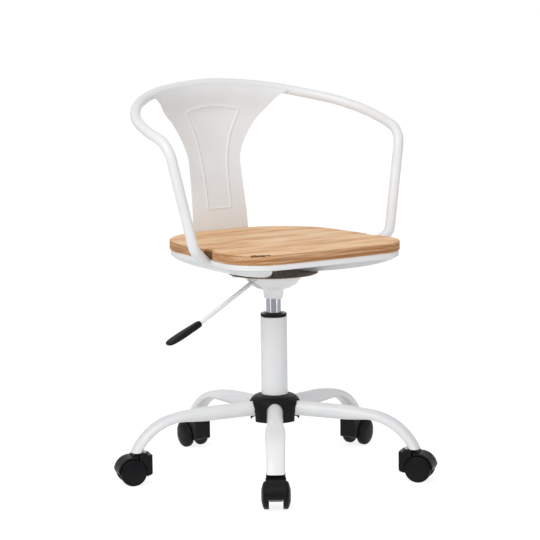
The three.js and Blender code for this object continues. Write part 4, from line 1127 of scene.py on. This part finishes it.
def leg_path():
    """A leg's centre line outwards along X: a gentle fall, then the bend down to the caster."""

    def straight(reach):
        return Vector((reach, 0, leg.hub_height - (reach - leg.start) * tan(leg.slope)))

    def spoke(angle):
        return Vector((sin(angle), 0, cos(angle)))

    centre = straight(leg.bend_start) - spoke(leg.slope) * leg.bend_radius
    run = leg.press_start - leg.start
    points = [straight(leg.start + run * k / spoke_steps) for k in range(spoke_steps)]
    run = leg.bend_start - leg.press_start
    points += [straight(leg.press_start + run * k / leg_steps) for k in range(leg_steps)]
    turn = leg.bend_angle - leg.slope
    angles = [leg.slope + turn * k / leg_steps for k in range(leg_steps + 1)]
    points += [centre + spoke(angle) * leg.bend_radius for angle in angles]
    way = Vector((cos(leg.bend_angle), 0, -sin(leg.bend_angle)))
    points.append(points[-1] + way * (leg.flat_half_thickness + overrun))
    return points


def leg_tube(draw_in):
    path = leg_path()
    headings = headings_along(path)
    rings = []
    for point, heading in zip(path, headings):
        up = Vector((-heading.z, 0, heading.x))
        share = min(max((point.x - leg.press_start) / (leg.press_end - leg.press_start), 0), 1)
        press = share * share * (3 - 2 * share)
        narrow = min(max((point.x - leg.press_end) / (caster.ring - leg.press_end), 0), 1)
        flat_width = leg.flat_half_width + (leg.end_half_width - leg.flat_half_width) * narrow
        half_width = leg.radius + (flat_width - leg.radius) * press - draw_in
        half_height = leg.radius + (leg.flat_half_thickness - leg.radius) * press - draw_in
        squareness = 2 + (leg.squareness - 2) * press
        ring = []
        for angle in angles_round(leg_sides):
            side, rise = squared_point(angle, squareness, half_width, half_height)
            ring.append(point + Vector((0, side, 0)) + up * rise)
        rings.append(ring)
    return skin(rings)


def leg_body():
    """A leg along X, cut level above the caster, with the stem's socket in its end."""
    far = 2 * caster.ring
    body = cut(leg_tube(0), box_shape(0, far, -far, far, 0, leg.end))
    cut(body, leg_tube(leg.wall))
    hole = caster.stem_radius + 2 * gap
    socket = turned(tube_profile(hole, leg.socket_radius, leg.end, leg.socket_top, 0.6), tube_sides)
    socket = moved(socket, Matrix.Translation((caster.ring, 0, 0)))
    join(body, keep(socket, leg_tube(0)))
    return soften(body, leg.edge, 60)


# Casters, each along X from its stem


def stem_body():
    radius = caster.stem_radius
    wide = caster.collar_radius
    low = caster.cap_top - caster.stem_depth
    top = caster.stem_top
    seat = leg.end - 2 * gap
    rim = leg.end - gap
    tip = caster.stem_tip
    return turned(
        (
            (0, low), (radius, low), (radius, seat), (wide, seat), (wide, rim), (radius, rim),
            (radius, top - tip), (radius - tip / 2, top), (0, top),
        ),
        tube_sides,
    )


def hood_profile():
    """The hood's side view: the stem block, its foot, and the guard that follows the wheels."""
    radius = caster.hood_radius
    trail = caster.trail
    centre = caster.wheel_radius
    tail_angle = asin((caster.tail_height + caster.tail_cut - centre) / radius)
    start_angle = acos((caster.block_radius - trail) / radius)
    steps = 2 * corner_steps
    angles = [tail_angle + (start_angle - tail_angle) * k / steps for k in range(steps + 1)]
    return rounded((
        (-caster.block_radius, caster.block_foot, caster.foot_radius),
        (-caster.keel_reach, caster.keel_height), (trail - caster.spine_run, caster.spine_bottom),
        (trail + caster.spine_run, caster.spine_bottom), (trail + caster.tail_reach, caster.tail_height),
        *[(trail + radius * cos(angle), centre + radius * sin(angle)) for angle in angles],
        (caster.block_radius, caster.block_top), (-caster.block_radius, caster.block_top),
    ))


def on_axle(shape, quarter_turns):
    """A shape turned round Z, laid across the caster round the wheels' axle."""
    body = moved(shape, Matrix.Rotation(quarter_turns * pi / 2, 4, "X"))
    return moved(body, Matrix.Translation((caster.trail, 0, caster.wheel_radius)))


def hood_body():
    profile = hood_profile()
    trail = caster.trail
    cheek = caster.block_radius
    nose = caster.block_nose
    top = 2 * caster.block_top
    far = 4 * trail
    guard = side_prism(profile, -caster.hood_half_width, caster.hood_half_width)
    guard = cut(guard, box_shape(-2 * trail, trail / 2, -2 * trail, 2 * trail, 0, top))
    wide = join(side_prism(profile, -cheek, cheek), guard)
    radius = caster.hood_radius + caster.clearance - caster.hood_thickness
    reach = 2 * caster.hood_half_width
    cut(wide, on_axle(turned([(0, -reach), (radius, -reach), (radius, reach), (0, reach)]), 1))
    body = join(side_prism(profile, -caster.spine_half_width, caster.spine_half_width), wide)
    outline = rounded((
        (-cheek, -nose, caster.nose_radius), (caster.cheek_reach, -cheek, caster.cheek_radius),
        (far, -cheek), (far, cheek), (caster.cheek_reach, cheek, caster.cheek_radius),
        (-cheek, nose, caster.nose_radius),
    ))
    guard_top = caster.wheel_radius + caster.hood_radius
    guard_space = box_shape(trail / 2, far, -2 * trail, 2 * trail, 0, guard_top)
    keep(body, join(prism(outline, 0, top), guard_space))
    cap = [squared_point(a, leg.squareness, caster.cap_reach, cheek) for a in angles_round(round_sides)]
    join(body, prism(cap, caster.block_top - overrun, caster.cap_top))
    return soften(body, caster.hood_edge, 38)


def wheel_body():
    """A wheel on the sitter's left of its caster: tread, shoulder and domed disc."""
    inside = caster.wheel_inside
    outside = caster.wheel_outside
    tread = caster.wheel_radius
    radius = caster.disc_radius
    step = caster.disc_step
    disc = outside - caster.dome_drop
    surface = rounded((
        (caster.axle_radius, inside), (tread, inside, 1.5), (tread, caster.tread_outside, 3),
        ((tread + radius) / 2, (caster.tread_outside + disc) / 2 + step, 2), (radius, disc, 0.3),
        (radius - step, disc - step, 0.3), (radius - 2 * step, disc + step, 0.8),
        (radius / 2, outside - step / 3, 20), (1, outside),
    ))
    return on_axle(turned([(0, inside), *surface, (0, outside)]), -1)


# Making the pieces


def make_seat():
    piece("board_wood", board_body(), wood, "seat", "seat_wood", "seat_board")
    piece("pan_pressing", pan_body(), paint, "seat", "white_paint", "seat_pan")
    piece("underframe_pressing", underframe_body(), paint, "seat", "white_paint", "seat_underframe")
    piece("hoop_tube", hoop_body(), paint, "seat", "white_paint", "arm_hoop")
    piece("splat_sheet", splat_body(), splat_paint_bounce_corrected, "seat", "white_paint", "back_splat")


def make_mechanism():
    piece("tray_pressing", tray_body(), bronze, "seat", "bronzed_plate", "mount_plate")
    piece("housing_bowl", housing_body(), bowl_paint_lit, "seat", "white_paint", "mechanism_housing")
    # Black strips in the slits: painted shade.
    for number, (place, high) in enumerate(housing_slits, 1):
        piece(f"slit_shade_strip_{number}", slit_shade_strip_body(place, high), cover_nylon, "seat", "black_nylon")
    for name, x, y in bolt_sides:
        body = bolt_body(x * bolt.x, y * bolt.y)
        piece(f"tray_bolt_{name}", body, zinc, "seat", "bright_steel", f"plate_bolt_{name}")
    rod = swept(lever_path(), round_section(lever.rod_radius))
    piece("lever_wire", rod, rod_zinc_painted_reflection, "lever", "grey_rod", "lever_rod")
    piece("lever_paddle", lever_grip_body(), grip_plastic, "lever", "black_grip", "lever_grip")


def make_column():
    piece("lift_cylinder", cylinder_body(), chrome, "seat", "chrome", "gas_cylinder")
    piece("column_sleeve", column_body(), paint, "base", "white_paint", "column_tube")
    piece("column_bush", bush_body(), bush_plastic, "base", "black_bush", "guide_bush")
    hub_core = turned(tube_profile(column.radius + gap, hub.core_radius, hub.core_bottom, hub.core_top, 1))
    piece("hub_ring", hub_core, paint, "base", "white_paint", "hub_core")
    piece("hub_shroud", cover_body(), cover_nylon, "base", "black_nylon", "hub_cover")


def make_legs_and_casters():
    tube = leg_body()
    stem = solid(stem_body())
    hood = hood_body()
    wheel = wheel_body()
    mirrored = moved(linked("tool", wheel.data.copy()), Matrix.Scale(-1, 4, (0, 1, 0)))
    mirrored.data.flip_normals()
    for number, angle in leg_angles():
        end = f"_{number}"
        carrier = "caster" + end
        place = placing(angle, caster.ring)
        repeated(end, "leg_tube", tube, placing(angle), paint, "base", "white_paint", "leg")
        repeated(end, "stem_pin", stem, place, zinc, carrier, "bright_steel", "caster_stem")
        repeated(end, "hood_shell", hood, place, hood_nylon, carrier, "black_nylon", "caster_hood")
        for side, body in (("left", wheel), ("right", mirrored)):
            end = f"_{number}_{side}"
            carrier = "wheel" + end
            repeated(end, "wheel_shell", body, place, wheel_nylon, carrier, "black_wheel", "caster_wheel")
    for body in (tube, stem, hood, wheel, mirrored):
        bpy.data.objects.remove(body)


def dress_cad_nodes():
    """The small CAD pieces that stay as they are get their metal."""
    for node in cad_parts.values():
        if not node.hide_render:
            node.data.materials.clear()
            node.data.materials.append(zinc)


# Camera, lights and floor

camera_place = Sizes(
    distance=3873.55, height=941.62, azimuth=radians(33.58), pitch=radians(8.277), yaw=0.00151,
    roll=0.01366, lens=138.009, sensor=36, shift=0.0109,
)
# In metres, and as shares of white.
studio = Sizes(
    ambient=0.62, floor_half_width=20, floor_bounced=(0.86, 0.86, 0.86, 1), floor_faint=(0.3, 0.3, 0.3, 1),
    floor_glow=0.84, card_reach=1.3, card_height=0.9,
)


def make_camera():
    data = bpy.data.cameras.new("camera")
    data.lens = camera_place.lens
    data.sensor_width = camera_place.sensor
    data.shift_y = camera_place.shift
    camera = linked("camera", data)
    pitch = camera_place.pitch
    yaw = camera_place.yaw
    roll = camera_place.roll
    forward = Vector((-sin(yaw) * cos(pitch), cos(yaw) * cos(pitch), -sin(pitch)))
    right = Vector((cos(yaw), sin(yaw), 0))
    up = right.cross(forward)
    level = (right * cos(roll) - up * sin(roll), right * sin(roll) + up * cos(roll), -forward)
    turn = Matrix.Rotation(-camera_place.azimuth, 3, "Z")
    place = turn @ Vector((0, -camera_place.distance, camera_place.height))
    camera.matrix_world = Matrix.Translation(place * MM + axis) @ (turn @ Matrix(level).transposed()).to_4x4()
    bpy.context.scene.camera = camera


def make_world():
    world = bpy.data.worlds.new("studio")
    bpy.context.scene.world = world
    world.use_nodes = True
    made = Nodes(world.node_tree)
    seen = made.seen_directly()
    strength = made.node("ShaderNodeMapRange", Value=seen, To_Min=studio.ambient, To_Max=1.0)
    background = made.tree.nodes["Background"].inputs
    made.feed(background["Color"], (1, 1, 1, 1))
    made.feed(background["Strength"], strength.outputs[0])


def make_floor():
    half = studio.floor_half_width
    points = [(-half, -half, 0), (half, -half, 0), (half, half, 0), (-half, half, 0)]
    floor = linked("floor", new_mesh("floor", points, [(0, 1, 2, 3)]))
    material, made = bare_material("floor_white")
    bounced = made.node("ShaderNodeBsdfDiffuse", Color=studio.floor_bounced)
    faint = made.node("ShaderNodeBsdfDiffuse", Color=studio.floor_faint)
    glow = made.node("ShaderNodeEmission", Strength=studio.floor_glow)
    shown = made.node("ShaderNodeAddShader", faint.outputs[0], glow.outputs[0])
    made.show(made.node("ShaderNodeMixShader", made.seen_directly(), bounced.outputs[0], shown.outputs[0]))
    floor.data.materials.append(material)


def make_card(name, first, last, tone):
    """A curved grey card that only mirrors see, from one angle to another round the camera's side."""
    points = []
    for k in range(corner_steps + 1):
        angle = radians(first + (last - first) * k / corner_steps) - pi / 2 - camera_place.azimuth
        for height in (0, studio.card_height):
            points.append((studio.card_reach * cos(angle), studio.card_reach * sin(angle), height))
    faces = [(2 * k, 2 * k + 2, 2 * k + 3, 2 * k + 1) for k in range(corner_steps)]
    card = linked(name, new_mesh(name, points, faces))
    for kind in ("camera", "diffuse", "transmission", "volume_scatter", "shadow"):
        setattr(card, f"visible_{kind}", False)
    material, made = bare_material(name)
    made.show(made.node("ShaderNodeEmission", Color=(*tone, 1)))
    card.data.materials.append(material)


def make_lamp(name, place, size, power):
    data = bpy.data.lights.new(name, "AREA")
    data.shape = "SQUARE"
    data.size = size
    data.energy = power
    lamp = linked(name, data)
    lamp.location = place
    aim = Vector((0, 0, cad_high.z / 2)) - lamp.location
    lamp.rotation_mode = "QUATERNION"
    lamp.rotation_quaternion = aim.to_track_quat("-Z", "Y")


make_camera()
make_seat()
make_mechanism()
make_column()
make_legs_and_casters()
dress_cad_nodes()
make_floor()
make_world()
make_card("card_middle", first=-38, last=45, tone=(0.37, 0.375, 0.41))
make_card("card_left", first=-160, last=-54, tone=(0.49, 0.50, 0.545))
make_card("card_right", first=61, last=160, tone=(0.45, 0.46, 0.50))
make_lamp("key_lamp", place=Vector((-3.2, -1.6, 3.2)), size=2.4, power=80)
make_lamp("fill_lamp", place=Vector((1.4, -3.4, 1.0)), size=2.4, power=8)
make_lamp("low_lamp", place=Vector((-1.6, -2.4, 0.12)), size=1.6, power=9.5)

bpy.context.scene.view_settings.view_transform = "Standard"
